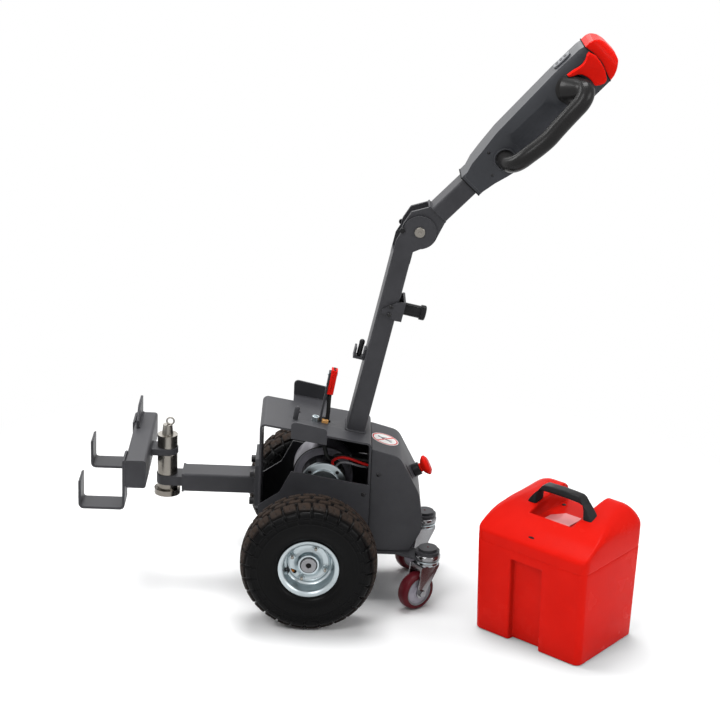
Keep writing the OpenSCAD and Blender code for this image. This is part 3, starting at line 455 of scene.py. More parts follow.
# %% The coloured finishes
red_gloss = coated(
    "red_gloss_plastic", (0.64, 0.009, 0.0045), (0.70, 0.0115, 0.006), (0.2, 0.3),
    grain=300, bump_mm=0.012, strength=0.05, gloss=0.03)
maroon_pu = coated("maroon_wheel", (0.070, 0.005, 0.009), (0.095, 0.007, 0.012),
                   (0.22, 0.38), grain=200)
hub_lilac = coated("caster_hub", (0.30, 0.28, 0.33), (0.38, 0.36, 0.41), (0.3, 0.45),
                   grain=300)
sticker_white = coated("sticker_white", (0.72, 0.72, 0.70), (0.8, 0.8, 0.78), (0.25, 0.35),
                       grain=300)
sticker_red = coated("sticker_red", (0.55, 0.01, 0.01), (0.62, 0.015, 0.012), (0.25, 0.35),
                     grain=300)
wire_red = coated("wire_red", (0.42, 0.008, 0.008), (0.5, 0.012, 0.01), (0.3, 0.45),
                  grain=600)
wire_black = coated("wire_black", (0.012, 0.012, 0.012), (0.02, 0.02, 0.02), (0.35, 0.5),
                    grain=600)
wire_grey = coated("wire_grey", (0.15, 0.15, 0.16), (0.2, 0.2, 0.21), (0.35, 0.5), grain=600)
kraft_card = coated("kraft_card", (0.58, 0.30, 0.10), (0.66, 0.36, 0.13), (0.5, 0.7),
                    grain=400)
amber = coated("amber_slot", (0.42, 0.13, 0.015), (0.5, 0.17, 0.02), (0.4, 0.55), grain=500)

# Light that bounces off the red plastic would tint the white floor, which the picture hides
tree = red_gloss.node_tree
red_colour = tree.nodes["Principled BSDF"].inputs["Base Color"]
rays = add_node(tree, "LightPath").outputs
bounced = maths(tree, "MULTIPLY_ADD", rays["Is Glossy Ray"], 0.72, rays["Is Diffuse Ray"],
                clamp=True)
feed(tree, red_colour, two_tone(tree, bounced, red_colour.links[0].from_socket,
                                (0.12, 0.085, 0.085)))
print("finishes:", len(bpy.data.materials))

# %% [markdown]
# A tyre's tread tops carry a brown film of dust, and its side walls stay dark and shiny.
# The mesh of the tyre stores how high each point stands in the tread, and the material
# reads that value, so the dust turns with the wheel.

# %% The tyre's rubber
tyre_rubber, tree, shader = new_material("tyre_rubber")
effect = use_group(tree, grain_group, Scale=520.0, Roughness_low=0.24, Roughness_high=0.36)
height = tree.nodes.new("ShaderNodeAttribute")
height.attribute_name = "tread"
film = spread(tree, noise(tree, 90, 5, 0.7), 0.3, 0.6, 0.35, 1.0)
dusty = maths(tree, "MULTIPLY", height.outputs["Fac"], film)
feed(tree, shader.inputs["Base Color"],
     two_tone(tree, dusty, (0.0020, 0.0020, 0.0022), (0.030, 0.020, 0.015)))
feed(tree, shader.inputs["Roughness"],
     maths(tree, "MAXIMUM", effect["Roughness"], spread(tree, dusty, 0.0, 1.0, 0.22, 0.8)))
shader.inputs["Specular IOR Level"].default_value = 0.08
bump(tree, shader, effect["Height"], 0.3, 0.08)

SLOTS = {
    powder_coat: "powder", moulded_black: "black_plastic", head_plastic: "head_plastic",
    pad_grey: "head_plastic", red_gloss: "red_plastic", pin_steel: "pin_steel",
    chrome: "chromed", cast_grey: "cast",
}
print("tyre rubber reads the mesh value", height.attribute_name)

# %% [markdown]
# The CAD solids have sharp edges. Real sheet steel, castings and mouldings have small
# radii that catch the light, and most of what the eye reads as "metal" or "moulding" is
# that thin bright line. So a rigid node is copied, its flat faces are cleaned up, and a
# bevel modifier rounds every edge. The copy then stands for the node.

# %% Helpers for rounded pieces
def crisp_shade(mesh, degrees):
    """Smooth shading, with every edge sharper than the angle kept crisp."""
    mesh.polygons.foreach_set("use_smooth", [True] * len(mesh.polygons))
    mesh.set_sharp_from_angle(angle=math.radians(degrees))


def settle(piece, body, slot, *replaced):
    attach(piece, body)
    if replaced:
        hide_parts(*replaced)
    return piece


def round_edges(piece, width, segments):
    """Rounds every clear edge, with a width in millimetres."""
    soft = piece.modifiers.new("rounded edges", "BEVEL")
    soft.width = width * MM
    soft.segments = segments
    soft.limit_method = "ANGLE"
    soft.angle_limit = math.radians(35)
    soft.use_clamp_overlap = True
    soft.miter_outer = "MITER_ARC"


PAD_R, PAD_FOOT, STEP_R, CROWN_R, STEP_Z, CROWN_Z = 23.5, 106, 21, 18.2, 117, 122.5


def flatten_pads(source):
    """The casters' pads are two flat steps, and not a cone."""
    for v in source.verts:
        x, y, z = (v.co - AXLE) / MM
        for side in (-1, 1):
            away = Vector((x - CASTER_X, y - side * CASTER_Y))
            if away.length < PAD_R and z > PAD_FOOT:
                r = away.length if away.length > STEP_R else CROWN_R
                z = STEP_Z if z < 120 else CROWN_Z
                away = away.normalized() * r
                v.co = place(CASTER_X + away.x, side * CASTER_Y + away.y, z)


def rounded(name, finish, width):
    """A copy of a CAD node with rounded edges, which stands for it."""
    source = bmesh.new()
    source.from_mesh(nodes[name].data)
    bmesh.ops.remove_doubles(source, verts=source.verts, dist=1e-5)
    if name == "base_plate":
        flatten_pads(source)
    bmesh.ops.dissolve_limit(source, angle_limit=math.radians(0.6), verts=source.verts,
                             edges=source.edges)
    source.verts.index_update()
    mesh = bpy.data.meshes.new(name + "_body")
    mesh.from_pydata([v.co.copy() for v in source.verts], [],
                     [[v.index for v in f.verts] for f in source.faces])
    source.free()
    mesh.materials.append(finish)
    piece = link(bpy.data.objects.new(name + "_body", mesh))
    round_edges(piece, width, 3 if width > 1.9 else 2)
    crisp_shade(mesh, 40)
    return settle(piece, nodes[name]["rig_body"], SLOTS[finish], name)


# %% Rounded copies of the rigid nodes
ROUNDED = (
    (powder_coat, {
        "chassis_frame": 0.9, "side_panel_near": 0.9, "side_panel_far": 0.9, "base_plate": 1.0,
        "control_cover": 2.4, "drawbar": 1.2, "column": 0.8, "rest_bracket": 0.9,
        "latch_bracket": 0.8, "connector_post": 0.7, "coupler_lug": 1.4, "cross_bar": 0.8,
        "hook_near": 1.0, "hook_far": 1.0, "guide_plate": 1.0, "arm": 1.0}),
    (pin_steel, {"hitch_pin": 0.9, "hitch_spacer": 1.0, "pivot_pin": 1.0}),
    (cast_grey, {"gearbox": 2.0}),
    (moulded_black, {"stop_collar": 0.8}),
    (red_gloss, {"stop_head": 1.6, "connector_block": 0.9}),
    (moulded_black, {"rest_buffer": 1.2, "latch_pin": 3.0}),
    (head_plastic, {"control_head": 2.2}),
    (pad_grey, {"head_pad": 1.4}),
    (chrome, {"caster_fork_near": 0.5, "caster_fork_far": 0.5}),
)
for finish, widths in ROUNDED:
    for name, width in widths.items():
        rounded(name, finish, width)

# The nose button is a smooth dome: its CAD shape is remeshed finely and then relaxed
dome = rounded("nose_button", red_gloss, 0.6)
dome.modifiers.clear()
fine = dome.modifiers.new("fine mesh", "REMESH")
fine.mode, fine.voxel_size, fine.use_smooth_shade = "VOXEL", 1.2 * MM, True
calm = dome.modifiers.new("relaxed", "SMOOTH")
calm.factor, calm.iterations = 0.5, 22
print("rounded nodes:", sum(len(widths) for finish, widths in ROUNDED) + 1)

# %% [markdown]
# The remaining pieces are made from a few shapes that a workshop would know: turned
# parts, lofts through cross sections, and rods bent along a route. Each shape is only
# points and faces, so that it can be checked and reused before any object exists.

# %% Turned, lofted and bent shapes
def lathe(outline, sides=48, ring=False):
    """Turns (radius, height) pairs round the Z axis; a ring joins its last pair to the first."""
    points, rings = [], []
    for radius, z in outline:
        first = len(points)
        if radius < 1e-6:
            points.append((0, 0, z))
            rings.append([first] * sides)
            continue
        for i in range(sides):
            a = 2 * math.pi * i / sides
            points.append((radius * math.cos(a), radius * math.sin(a), z))
        rings.append(list(range(first, first + sides)))
    if ring:
        rings.append(rings[0])
    faces = []
    for low, high in zip(rings, rings[1:]):
        for i in range(sides):
            j = (i + 1) % sides
            face = list(dict.fromkeys((low[i], low[j], high[j], high[i])))
            if len(face) > 2:
                faces.append(face)
    return points, faces


def loft(rings, caps=True):
    """A skin through cross sections that have the same number of points."""
    n = len(rings[0])
    points = [p for ring in rings for p in ring]
    faces = [(a * n + i, a * n + (i + 1) % n, (a + 1) * n + (i + 1) % n, (a + 1) * n + i)
             for a in range(len(rings) - 1) for i in range(n)]
    if caps:
        faces += [tuple(range(n)), tuple(range(len(points) - n, len(points)))]
    return points, faces


def smooth_route(points, steps=4):
    """A route through all the given points, without corners."""
    pts = [Vector(p) for p in points]
    route = []
    for i in range(len(pts) - 1):
        a, b, c, d = pts[max(i - 1, 0)], pts[i], pts[i + 1], pts[min(i + 2, len(pts) - 1)]
        for k in range(steps):
            t = k / steps
            route.append(0.5 * ((2 * b) + (c - a) * t + (2 * a - 5 * b + 4 * c - d) * t * t
                                + (3 * b - a - 3 * c + d) * t ** 3))
    return route + [pts[-1]]


def rod(route, radius, sides=12):
    """A round rod along a route; the radius may change with the fraction of its length."""
    route = [Vector(p) for p in route]
    last = len(route) - 1
    across, rings = Vector((0.31, 0.2, 0.93)), []
    for i, spot in enumerate(route):
        ahead = (route[min(i + 1, last)] - route[max(i - 1, 0)]).normalized()
        across = (across - ahead * across.dot(ahead)).normalized()
        side = ahead.cross(across)
        r = radius(i / last) if callable(radius) else radius
        rings.append([spot + r * (math.cos(a) * across + math.sin(a) * side)
                      for a in (2 * math.pi * k / sides for k in range(sides))])
    return loft(rings)


def slab(outline, low, high):
    """A flat outline in X and Y, given a thickness along Z."""
    return loft([[(x, y, z) for x, y in outline] for z in (low, high)])


def oval(length, width, sides=32, power=2.0):
    """An ellipse, or a rounder rectangle with a higher power."""
    points = []
    for i in range(sides):
        c, s = math.cos(2 * math.pi * i / sides), math.sin(2 * math.pi * i / sides)
        points.append((length / 2 * math.copysign(abs(c) ** (2 / power), c),
                       width / 2 * math.copysign(abs(s) ** (2 / power), s)))
    return points


def ease(value, low, high):
    """Goes softly from 0 at the low value to 1 at the high one."""
    t = min(max((value - low) / (high - low), 0), 1)
    return t * t * (3 - 2 * t)


print("a turned disc has", len(lathe([(0, 0), (9, 0), (9, 2), (0, 2)])[1]), "faces")

# %% [markdown]
# A workpiece collects such shapes, each with its own finish and seat, and then becomes
# one object that rides on a body. Bolts and weld beads are shapes of their own, because
# they come back on many pieces.

# %% The workpiece
class Workpiece:
    """Collects surfaces with their finishes, then becomes one object."""

    def __init__(self, name):
        self.name = name
        self.points, self.faces, self.tags, self.finishes = [], [], [], []

    def add(self, shape, finish, seat=None):
        """Adds a shape in millimetres, in the drawing or in a seat's own frame."""
        points, faces = shape
        first = len(self.points)
        self.points += [seat @ (Vector(p) * MM) if seat else place(*p) for p in points]
        if finish not in self.finishes:
            self.finishes.append(finish)
        self.faces += [[first + i for i in face] for face in faces]
        self.tags += [self.finishes.index(finish)] * len(faces)
        return self

    def mount(self, body, slot, *replaced, crisp=38):
        mesh = bpy.data.meshes.new(self.name)
        mesh.from_pydata(self.points, [], self.faces)
        for finish in self.finishes:
            mesh.materials.append(finish)
        mesh.polygons.foreach_set("material_index", self.tags)
        work = bmesh.new()
        work.from_mesh(mesh)
        bmesh.ops.recalc_face_normals(work, faces=work.faces)
        work.to_mesh(mesh)
        work.free()
        crisp_shade(mesh, crisp)
        piece = link(bpy.data.objects.new(self.name, mesh))
        print(self.name, len(mesh.polygons), "faces")
        return settle(piece, body, slot, *replaced)


# %% Bolts, screws and weld beads
def hex_bolt(across, height):
    r = across / 1.732
    return lathe([(0, 0), (r, 0), (r, height * 0.8), (r * 0.86, height), (0, height)], 6)


def washer(radius, height=1.6):
    return lathe([(0, 0), (radius, 0), (radius, height * 0.7), (radius - 0.5, height),
                  (0, height)], 28)


def socket_bolt(radius, height):
    hole = radius * 0.52
    return lathe([(0, 0), (radius, 0), (radius, height - 0.8), (radius - 0.8, height),
                  (hole, height), (hole, height - 2.6), (0, height - 2.6)], 24)


def flat_screw(radius):
    """A low round head with a recess."""
    return lathe([(0, 0), (radius, 0), (radius * 0.95, 0.9), (radius * 0.7, 1.7),
                  (radius * 0.42, 1.9), (radius * 0.38, 0.7), (0, 0.7)], 24)


def weld(route, radius):
    """A weld bead: a rod with the ripples that each dab of the torch leaves."""
    route = [Vector(p) for p in route]
    dense = []
    for a, b in zip(route, route[1:]):
        n = max(2, int((b - a).length))
        dense += [a.lerp(b, k / n) for k in range(n)]
    dense.append(route[-1])
    ripples = len(dense) / 3
    return rod(dense, lambda f: radius * (0.86 + 0.14 * math.sin(2 * math.pi * f * ripples)), 8)


print("a bolt's shape has", len(socket_bolt(4, 6)[1]), "faces")

# %% [markdown]
# The two drive tyres are of the pneumatic block pattern kind. The rubber is one mesh of
# rings round the axle: its outline runs from one bead over the crown to the other, and
# blocks stand up from it in two staggered rows with a zigzag row between them. A mesh
# grid with heights is better here than many separate blocks, because the flanks of the
# blocks then flow into the shoulder as moulded rubber does.

# %% The tyre's outline and tread
HALF_TYRE = [
    (50.6, 30.0), (53, 31.6), (57, 33.2), (61, 34.6), (63.4, 35.9), (64.6, 37.4), (66.4, 38.0),
    (68, 37.7), (70, 38.4), (74, 39.9), (79, 41.2), (84, 42.0), (89, 42.4), (93, 42.5),
    (94.6, 42.5), (95.4, 43.2), (96.6, 43.3), (97.4, 42.5), (99.5, 42.4), (102, 42.2),
    (103.4, 42.0), (104.2, 42.7), (105.4, 42.7), (106.2, 41.7), (108.5, 41.0), (110.8, 40.0),
    (113.2, 38.6), (115.6, 37.0), (117.8, 35.2), (119.8, 33.2), (121.4, 31.0), (122.6, 28.6),
    (123.5, 26.0), (124.2, 23.2), (124.7, 20.2), (125.1, 17.2), (125.4, 14.2), (125.6, 11.2),
    (125.8, 8.2), (125.9, 5.4), (126.0, 2.7)]
TYRE_LINE = HALF_TYRE + [(126.0, 0.0)] + [(r, -z) for r, z in reversed(HALF_TYRE)]
BLOCKS, STEPS, CROWN_LUG, SHOULDER_LUG, SIDE_RIB = 28, 448, 4.0, 3.1, 1.2
PITCH = 360 / BLOCKS


def block_height(turn, z, r):
    """How high the tread stands, from 0 in a groove to 1 on a block."""
    if r < 105:
        return 0.0
    side, a = (1 if z > 0 else -1), abs(z)
    shift = 0 if side > 0 else PITCH / 2
    edge = abs((turn + shift + 0.05 * side * a) % PITCH - PITCH / 2)
    inner = abs((turn + shift + PITCH / 2 - 0.11 * side * a) % PITCH - PITCH / 2)
    shoulder = ease(a, 14.2, 15.9) * ease(edge, 5.75, 5.0)
    # A short sipe splits the outer end of each shoulder block
    shoulder *= 1 - 0.55 * ease(a, 25.0, 26.5) * ease(31.5 - a, 0, 1.2) * ease(edge, 0.9, 0.4)
    middle = ease(a, 12.6, 11.2) * ease(a, 0.6, 2.0) * ease(inner, 5.4, 4.7)
    # A shallow ring splits the shoulder blocks into an outer and an inner row
    ring = 0.3 if 116.5 < r < 118.5 else 1.0
    return max(shoulder, middle) * ring * ease(r, 105.5, 108)


# %% The tyres
def tyre(side, word):
    points, faces, tread = [], [], []
    n = len(TYRE_LINE)
    for s in range(STEPS):
        turn = 360 * s / STEPS
        c, w = swing(turn)
        for k, (r, z) in enumerate(TYRE_LINE):
            before, after = TYRE_LINE[max(k - 1, 0)], TYRE_LINE[min(k + 1, n - 1)]
            out = Vector((-(after[1] - before[1]), after[0] - before[0])).normalized()
            high = block_height(turn, z, r)
            lift = high * (CROWN_LUG if r > 118 else SHOULDER_LUG)
            # Small ribs stand on the side wall below the shoulder
            if 97.5 < r < 107.5 and s % 16 in (0, 15):
                lift = SIDE_RIB
            points.append(((r + out.x * lift) * c, (r + out.x * lift) * w, z + out.y * lift))
            tread.append(high * ease(r, 117, 123))
    for s in range(STEPS):
        t = (s + 1) % STEPS
        for k in range(n - 1):
            faces.append((s * n + k, s * n + k + 1, t * n + k + 1, t * n + k))
        # The bead's inner side closes the rubber round the rim
        faces.append((s * n + n - 1, s * n, t * n, t * n + n - 1))
    piece = Workpiece("tyre_" + word + "_rubber").add(
        (points, faces), tyre_rubber, outward(0, WHEEL_Y, AXLE_Z, side)).mount(
        "drive_wheel_" + word, "tyre", "tyre_" + word, crisp=50)
    store = piece.data.attributes.new("tread", "FLOAT", "POINT")
    store.data.foreach_set("value", tread)


for side, word in SIDES:
    tyre(side, word)

# %% [markdown]
# The rims are pressed steel, zinc plated with a bluish cast. Each is turned in one outline:
# hub, disc with an embossed ring, deep barrel and rolled lips. Four studs with nuts clamp
# the two rim halves together, the valve stem leans out beside its slot, and the hub shows
# its bearing ring round the grey end of the axle.

# %% The rims
RIM_LINE = [
    (10.1, -29), (20.6, -29), (21.5, -28), (21.5, -1.4), (24, -0.6), (37.6, -0.6), (41, -1.8),
    (45.0, -3), (46.9, -6), (47.2, -30.5), (48.4, -33), (52, -35), (55.4, -36.4), (57.1, -36),
    (57.5, -34.8), (56.4, -33.8), (50.2, -30.4), (50.1, 30.4), (56.4, 33.8), (57.5, 34.8),
    (57.2, 36), (55.6, 36.6), (53, 35.8), (49.4, 34), (47.8, 31.6), (47.1, 29), (46.9, 8),
    (46.2, 5.0), (44.4, 3.4), (42.6, 2.7), (41.2, 3.0), (40.2, 3.8), (39, 4.2), (37.8, 3.8),
    (37, 2.9), (36, 2.6), (28.4, 2.6), (26.4, 3.2), (24.2, 4.4), (22.6, 5.0), (21.4, 6),
    (20.8, 7.6), (20.5, 16), (19.8, 17.2), (10.1, 17.4)]
STUD_R, STUD_TURN, AXLE_END = 33.6, 68, 198.6


def rim_and_trim(side, word):
    body = "drive_wheel_" + word
    wheel = outward(0, WHEEL_Y, AXLE_Z, side)
    rim = Workpiece("rim_" + word + "_pressed")
    rim.add(lathe(RIM_LINE, 96, ring=True), zinc_plate, wheel)
    for k in range(4):
        x, y = (STUD_R * v for v in swing(90 * k + STUD_TURN))
        seat = shifted(wheel, x, y, 2.6)
        rim.add(washer(6.6, 1.2), zinc_plate, seat)
        rim.add(hex_bolt(10, 6.2), zinc_plate, shifted(seat, 0, 0, 1.2))
        rim.add(lathe([(0, 0), (3, 0), (3, 4.4), (2.2, 5.2), (0, 5.2)], 20), pin_steel,
                shifted(seat, 0, 0, 7.2))
        rim.add(hex_bolt(10, 5), zinc_plate, shifted(wheel, x, y, -0.6) @ turned(180, "X"))
    rim.mount(body, "zinc", "rim_" + word, crisp=30)
    trim = Workpiece("wheel_trim_" + word)
    trim.add(lathe([(15.0, 16.9), (16.6, 16.9), (16.6, 17.9), (16.2, 18.2), (15.4, 18.2),
                    (15.0, 17.9)], 48, ring=True), black_steel, wheel)
    # The valve stem leans out of its slot, and the inner tube shows amber behind it; the dark
    # plate round it is painted shade in the slot
    slot = shifted(wheel, -32, -19.5, -6.4) @ turned(-16, "Z")
    trim.add(slab(oval(20, 8.4, 28, 3), 8.6, 9.3), dark_joint_and_painted_shade, slot)
    trim.add(slab([(x + 1, y + 0.6) for x, y in oval(8.6, 5.4, 20)], 9.2, 9.55), amber, slot)
    trim.add(rod([(-7, 0.4, 6), (-7, 0.4, 12), (-8, 0, 17), (-9, 0, 21)], 3.8, 16),
             moulded_black, slot)
    trim.add(rod([(-9, 0, 21), (-9.6, 0, 24), (-10.4, 0, 27)], 2.5, 16), zinc_plate, slot)
    trim.mount(body, "black_plastic")


# %% The axle and its caps
def axle_cap(side, word):
    end = outward(0, AXLE_END, AXLE_Z, side)
    cap = Workpiece("axle_cap_" + word)
    cap.add(lathe([(5.0, 0.1), (14.2, 0.1), (14.8, 0.7), (14.8, 2.2), (14.0, 3.2), (6.2, 3.4),
                   (5.4, 2.8)], 40, ring=True), cast_grey, end)
    # The dark disc in the middle of the cap is painted shade in its hole
    cap.add(lathe([(0, 0.6), (5.1, 0.6), (5.1, 1.4), (0, 1.4)], 24), dark_joint_and_painted_shade, end)
    cap.mount("tug_chassis", "cast")


for side, word in SIDES:
    rim_and_trim(side, word)
    axle_cap(side, word)
HALF_SHAFT = [(9.9, 60), (9.9, 150), (9.6, AXLE_END - 1.2), (8.4, AXLE_END), (0, AXLE_END)]
shaft = Workpiece("drive_shaft")
shaft.add(lathe([(r, -z) for r, z in reversed(HALF_SHAFT)] + HALF_SHAFT, 40), pin_steel,
          outward(0, 0, AXLE_Z, 1))
shaft.mount("tug_chassis", "pin_steel", "axle")

# %% [markdown]
# The casters' wheels are maroon polyurethane on a pale hub, with a grey stripe where the
# tread was trimmed. One turned outline is split into its three finishes. The swivel head
# above turns with the fork, and the upper race stays with the base plate.

# %% Caster wheels
for side, word, turn in ((-1, "near", 38), (1, "far", 34)):
    low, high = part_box("caster_wheel_" + word)
    r = (high.z - low.z) / 2 / MM
    roll = Matrix.Translation((low + high) / 2) @ turned(180 + turn, "Z") @ turned(90, "X")
    tread = [(r - 9, -11.8), (r - 7, -12.6), (r - 4.4, -12.2), (r - 2, -10.6), (r - 0.5, -7),
             (r, -3), (r, 3), (r - 0.5, 7), (r - 2, 10.6), (r - 4.4, 12.2), (r - 7, 12.6),
             (r - 9, 11.8), (r - 9, -11.8)]
    stripe = [(r - 9.1, -11), (r - 12.4, -10.2), (r - 12.4, 10.2), (r - 9.1, 11)]
    hub = [(4.05, -13), (10.5, -13), (12, -12), (12.6, -9.2), (r - 13.4, -8.6),
           (r - 12.3, -9.6), (r - 12.3, 9.6), (r - 13.4, 8.6), (12.6, 9.2), (12, 12),
           (10.5, 13), (4.05, 13)]
    wheel = Workpiece("caster_roller_" + word).add(lathe(tread, 72), maroon_pu, roll)
    wheel.add(lathe(stripe, 72, ring=True), pad_grey, roll)
    wheel.add(lathe(hub, 72, ring=True), hub_lilac, roll)
    wheel.mount("roller_" + word, "caster_tread", "caster_wheel_" + word)
    fork_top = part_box("caster_fork_" + word)[1].z / MM
    crown = upright(CASTER_X, side * CASTER_Y, fork_top)
    head = Workpiece("swivel_head_" + word)
    head.add(lathe([(19, -3.4), (22.6, -3.4), (23.2, -2.6), (23.2, -1.2), (22.4, -0.4),
                    (19, -0.4)], 56, ring=True), zinc_plate, crown)
    head.add(lathe([(19.5, -9.4), (22.2, -9.4), (22.8, -8.4), (22.2, -7.6), (19.5, -7.6)], 56,
                   ring=True), zinc_plate, crown)
    head.mount("swivel_" + word, "chromed")
    # The upper race stays with the plate, and a small plug closes the pad's middle
    seat = upright(CASTER_X, side * CASTER_Y, 100)
    race = Workpiece("caster_race_" + word)
    race.add(lathe([(23.05, 0.6), (24.2, 1.0), (24.8, 2.6), (24.8, 6.4), (24.3, 8.6),
                    (23.05, 10.2)], 64, ring=True), chrome, seat)
    race.add(lathe([(0, 22.5), (1.9, 22.5), (1.5, 23.4), (0, 23.6)], 16), maroon_pu, seat)
    race.mount("tug_chassis", "chromed")

# %% [markdown]
# The tiller's two loop handles are tubes bent in one plane after another, covered in
# smooth black rubber. A rod along a smooth route keeps them round, and the upper end
# swells into a root and a boss where it meets the head.

# %% The loop handles
GRIP_ROUTE = [
    (209, 36.3, -8), (209.5, 46, -8.6), (210.5, 56, -9.8), (214, 71, -12.5), (223, 83, -15.5),
    (236, 90, -17.5), (252, 92, -19), (274, 92.5, -21.5), (296, 92.5, -22.5), (320, 92, -20.5),
    (346, 92, -18.5), (366, 91.5, -17.5), (382, 90, -16.5), (395, 86, -13), (403, 78.5, -8),
    (402.5, 69, -4), (397, 59.5, -1), (390, 49, 1.5), (384, 38.4, 3.5)]
ROOT_ROUTE = [(403, 78, -8), (400, 70, -6), (395, 60, -3), (389, 49, 0), (383, 38.4, 3)]
for side, word in SIDES:
    grip = Workpiece("grip_" + word)
    route = smooth_route([(u, side * y, v) for u, y, v in GRIP_ROUTE], 5)
    grip.add(rod(route, lambda f: 16 + 0.6 * ease(f, 0.03, 0.0) + 6 * ease(f, 0.86, 0.99), 36),
             rubber_black, TILLER)
    boss = shifted(TILLER, 383, side * 38.4, 3.5) @ sideways(side)
    grip.add(lathe([(0, 0), (28, 0), (28.4, 0.8), (27, 2.6), (23.6, 4.6), (21.4, 6.4), (18, 8),
                    (0, 8.4)], 48), rubber_black, boss)
    root = smooth_route([(u, side * y, v) for u, y, v in ROOT_ROUTE])
    grip.add(rod(root, lambda f: 16.4 + 10.6 * ease(f, 0.0, 1.1), 36), rubber_black, TILLER)
    grip.mount("tiller", "black_plastic", "handle_" + word, crisp=60)

# %% [markdown]
# Through the open side of the chassis the drive motor shows: a lilac-grey drum with a thin
# dark rim, a dark brush band with its leads, and a bright end ring. Its leads come up
# through the slot in the top plate to the red connector.

# %% The motor
MOTOR = along((22, 0, 229), (1, 0, 0), (0, -1, 0))
motor = Workpiece("motor_body")
for line, ring, finish in (
        ([(0, -70), (44, -70), (47.2, -68.4), (47.2, -59.6), (50, -58.2), (57, -58),
          (59, -56.6), (59, -1.6), (58.4, -0.6), (57.4, 0.2), (55.4, 0.2), (54.8, -0.8),
          (54, -1.4), (46, -1.6), (43, -1.2)], False, motor_grey),
        ([(43, -1.3), (43, 2), (42.4, 3), (42.4, 35), (43, 36), (43, 38.2)], False,
         black_steel),
        ([(43, 38.1), (44.4, 38.6), (44.4, 43.6), (43.6, 44.6), (41, 45.4), (33.6, 45.9),
          (32.2, 46.4), (31.9, 47), (31.9, 51), (31, 52), (15, 52.2), (14.2, 52.8),
          (14.2, 56.4), (13.4, 57), (0, 57)], False, zinc_plate),
        ([(59.05, -3.6), (59.9, -3.4), (59.9, -1.0), (59.2, -0.2), (58.4, -0.1),
          (58.4, -3.6)], True, black_steel)):
    motor.add(lathe(line, 96, ring), finish, MOTOR)
for k in range(4):
    x, y = (37.6 * v for v in swing(90 * k + 45))
    motor.add(socket_bolt(3.4, 3.6), black_steel, shifted(MOTOR, x, y, 45.2))
# Every other window of the brush band is a dark patch: painted shade for its opening
for k in range(10):
    window = shifted(MOTOR @ turned(36 * k + 12, "Z"), 41.2, 0, 18) @ turned(90, "Y")
    motor.add(slab(oval(22, 15, 24, 5), 0.4, 1.7), dark_joint_and_painted_shade if k % 2 else black_steel, window)

# %% The motor's leads
TERMINAL = Vector((40, -24, 229 + 118 * 0.32))
motor.add(lathe([(0, -12), (8, -12), (8, 2.6), (7, 4), (0, 4)], 28), moulded_black,
          upright(*TERMINAL))
CONNECTOR_X = 10
LEAD = [(CONNECTOR_X + a * top_c + b * top_s, y, plate_z(CONNECTOR_X) - a * top_s + b * top_c)
        for a, y, b in (
            (10, 0, 57.7), (10.5, -0.5, 50), (12, -1, 36), (14, -1, 20), (15, -1, 6),
            (15, -1, -6), (15.5, -4, -22), (18, -10, -38), (23, -17, -54),
            (30, -22, -66))] + [tuple(TERMINAL)]
FEED = [tuple(TERMINAL + Vector(p)) for p in (
    (0, 0, 0), (1, -2, 10), (6, -6, 17), (15, -9, 19), (28, -10, 17), (44, -10, 13),
    (67.7, -10, 10))]
RED_LEAD = [(107.6, -44, 272), (96, -45, 276), (84, -46, 281), (70, -46, 285.6),
            (56, -45, 287), (45, -43, 283), (38.5, -41, 276), (40, -39, 267), (44, -37, 262)]
GREY_LEAD = [(107.6, -38, 266), (94, -41, 268), (80, -44, 273), (66, -45, 277),
             (54, -43, 275), (47, -40, 268), (45, -37, 260)]
for route, radius, sides, finish in ((LEAD, 4, 16, wire_black), (FEED, 4, 16, wire_black),
                                     (RED_LEAD, 2.7, 12, wire_red),
                                     (GREY_LEAD, 2.3, 12, wire_grey)):
    motor.add(rod(smooth_route(route), radius, sides), finish)
motor.mount("tug_chassis", "cast", "motor", crisp=32)

# %% [markdown]
# The battery pack is a glossy red moulding in two halves with a thin seam between them. The
# lower half is a box whose front leans out a little, with one upright groove that the
# connector post slides into. It is a loft through rounded rectangles; the groove is part of
# each cross section, so that its corners stay soft all the way up.

# %% The battery's lower half
CASE_T, CASE_W, CASE_R, CASE_LEAN, CASE_FLARE, SEAM_Z = 187, 238, 14, 10, 5, 190
GROOVE_DEPTH = 14


def case_ring(z, inset, groove):
    """The outline of the case at a height, drawn in by an inset, with more or less groove."""
    share = min(z / SEAM_Z, 1)
    t, w = CASE_T + CASE_LEAN * share - 2 * inset, CASE_W + CASE_FLARE * share - 2 * inset
    shift, r = -CASE_LEAN * share / 2, CASE_R - inset * 0.6
    front, back = shift - t / 2, shift + t / 2

    def corner(cx, cy, start):
        return [(cx + r * c, cy + r * s, z) for c, s in (swing(start + 10 * k)
                                                         for k in range(10))]

    ring = corner(back - r, w / 2 - r, 0) + corner(front + r, w / 2 - r, 90)
    for y, d in ((50, 0), (43.5, 0), (41.6, 0.06), (40.4, 0.2), (40, 0.4), (39.6, 0.8),
                 (38.6, 0.95), (36.5, 1), (6, 1), (-23.5, 1), (-25.6, 0.95), (-26.6, 0.8),
                 (-27, 0.4), (-27.4, 0.2), (-28.6, 0.06), (-30.5, 0), (-44, 0)):
        ring.append((front + GROOVE_DEPTH * groove * d, y, z))
    return ring + corner(front + r, r - w / 2, 180) + corner(back - r, r - w / 2, 270)


LEVELS = [
    (0.2, 3.0, 1), (0.6, 1.6, 1), (1.6, 0.6, 1), (3.4, 0, 1), (60, 0, 1), (120, 0, 1),
    (164, 0, 1), (168, 0, 0.94), (170.4, 0, 0.8), (171.7, 0, 0.5), (172, 0, 0.2),
    (172.3, 0, 0), (180, 0, 0), (187.6, 0, 0), (188.8, 0.3, 0), (189.3, 0.5, 0),
    (189.8, 0.5, 0)]
case = Workpiece("battery_case_moulding")
case.add(loft([case_ring(*level) for level in LEVELS]), red_gloss, BATTERY)
case.mount("battery_pack", "red_plastic", "battery_case", crisp=50)

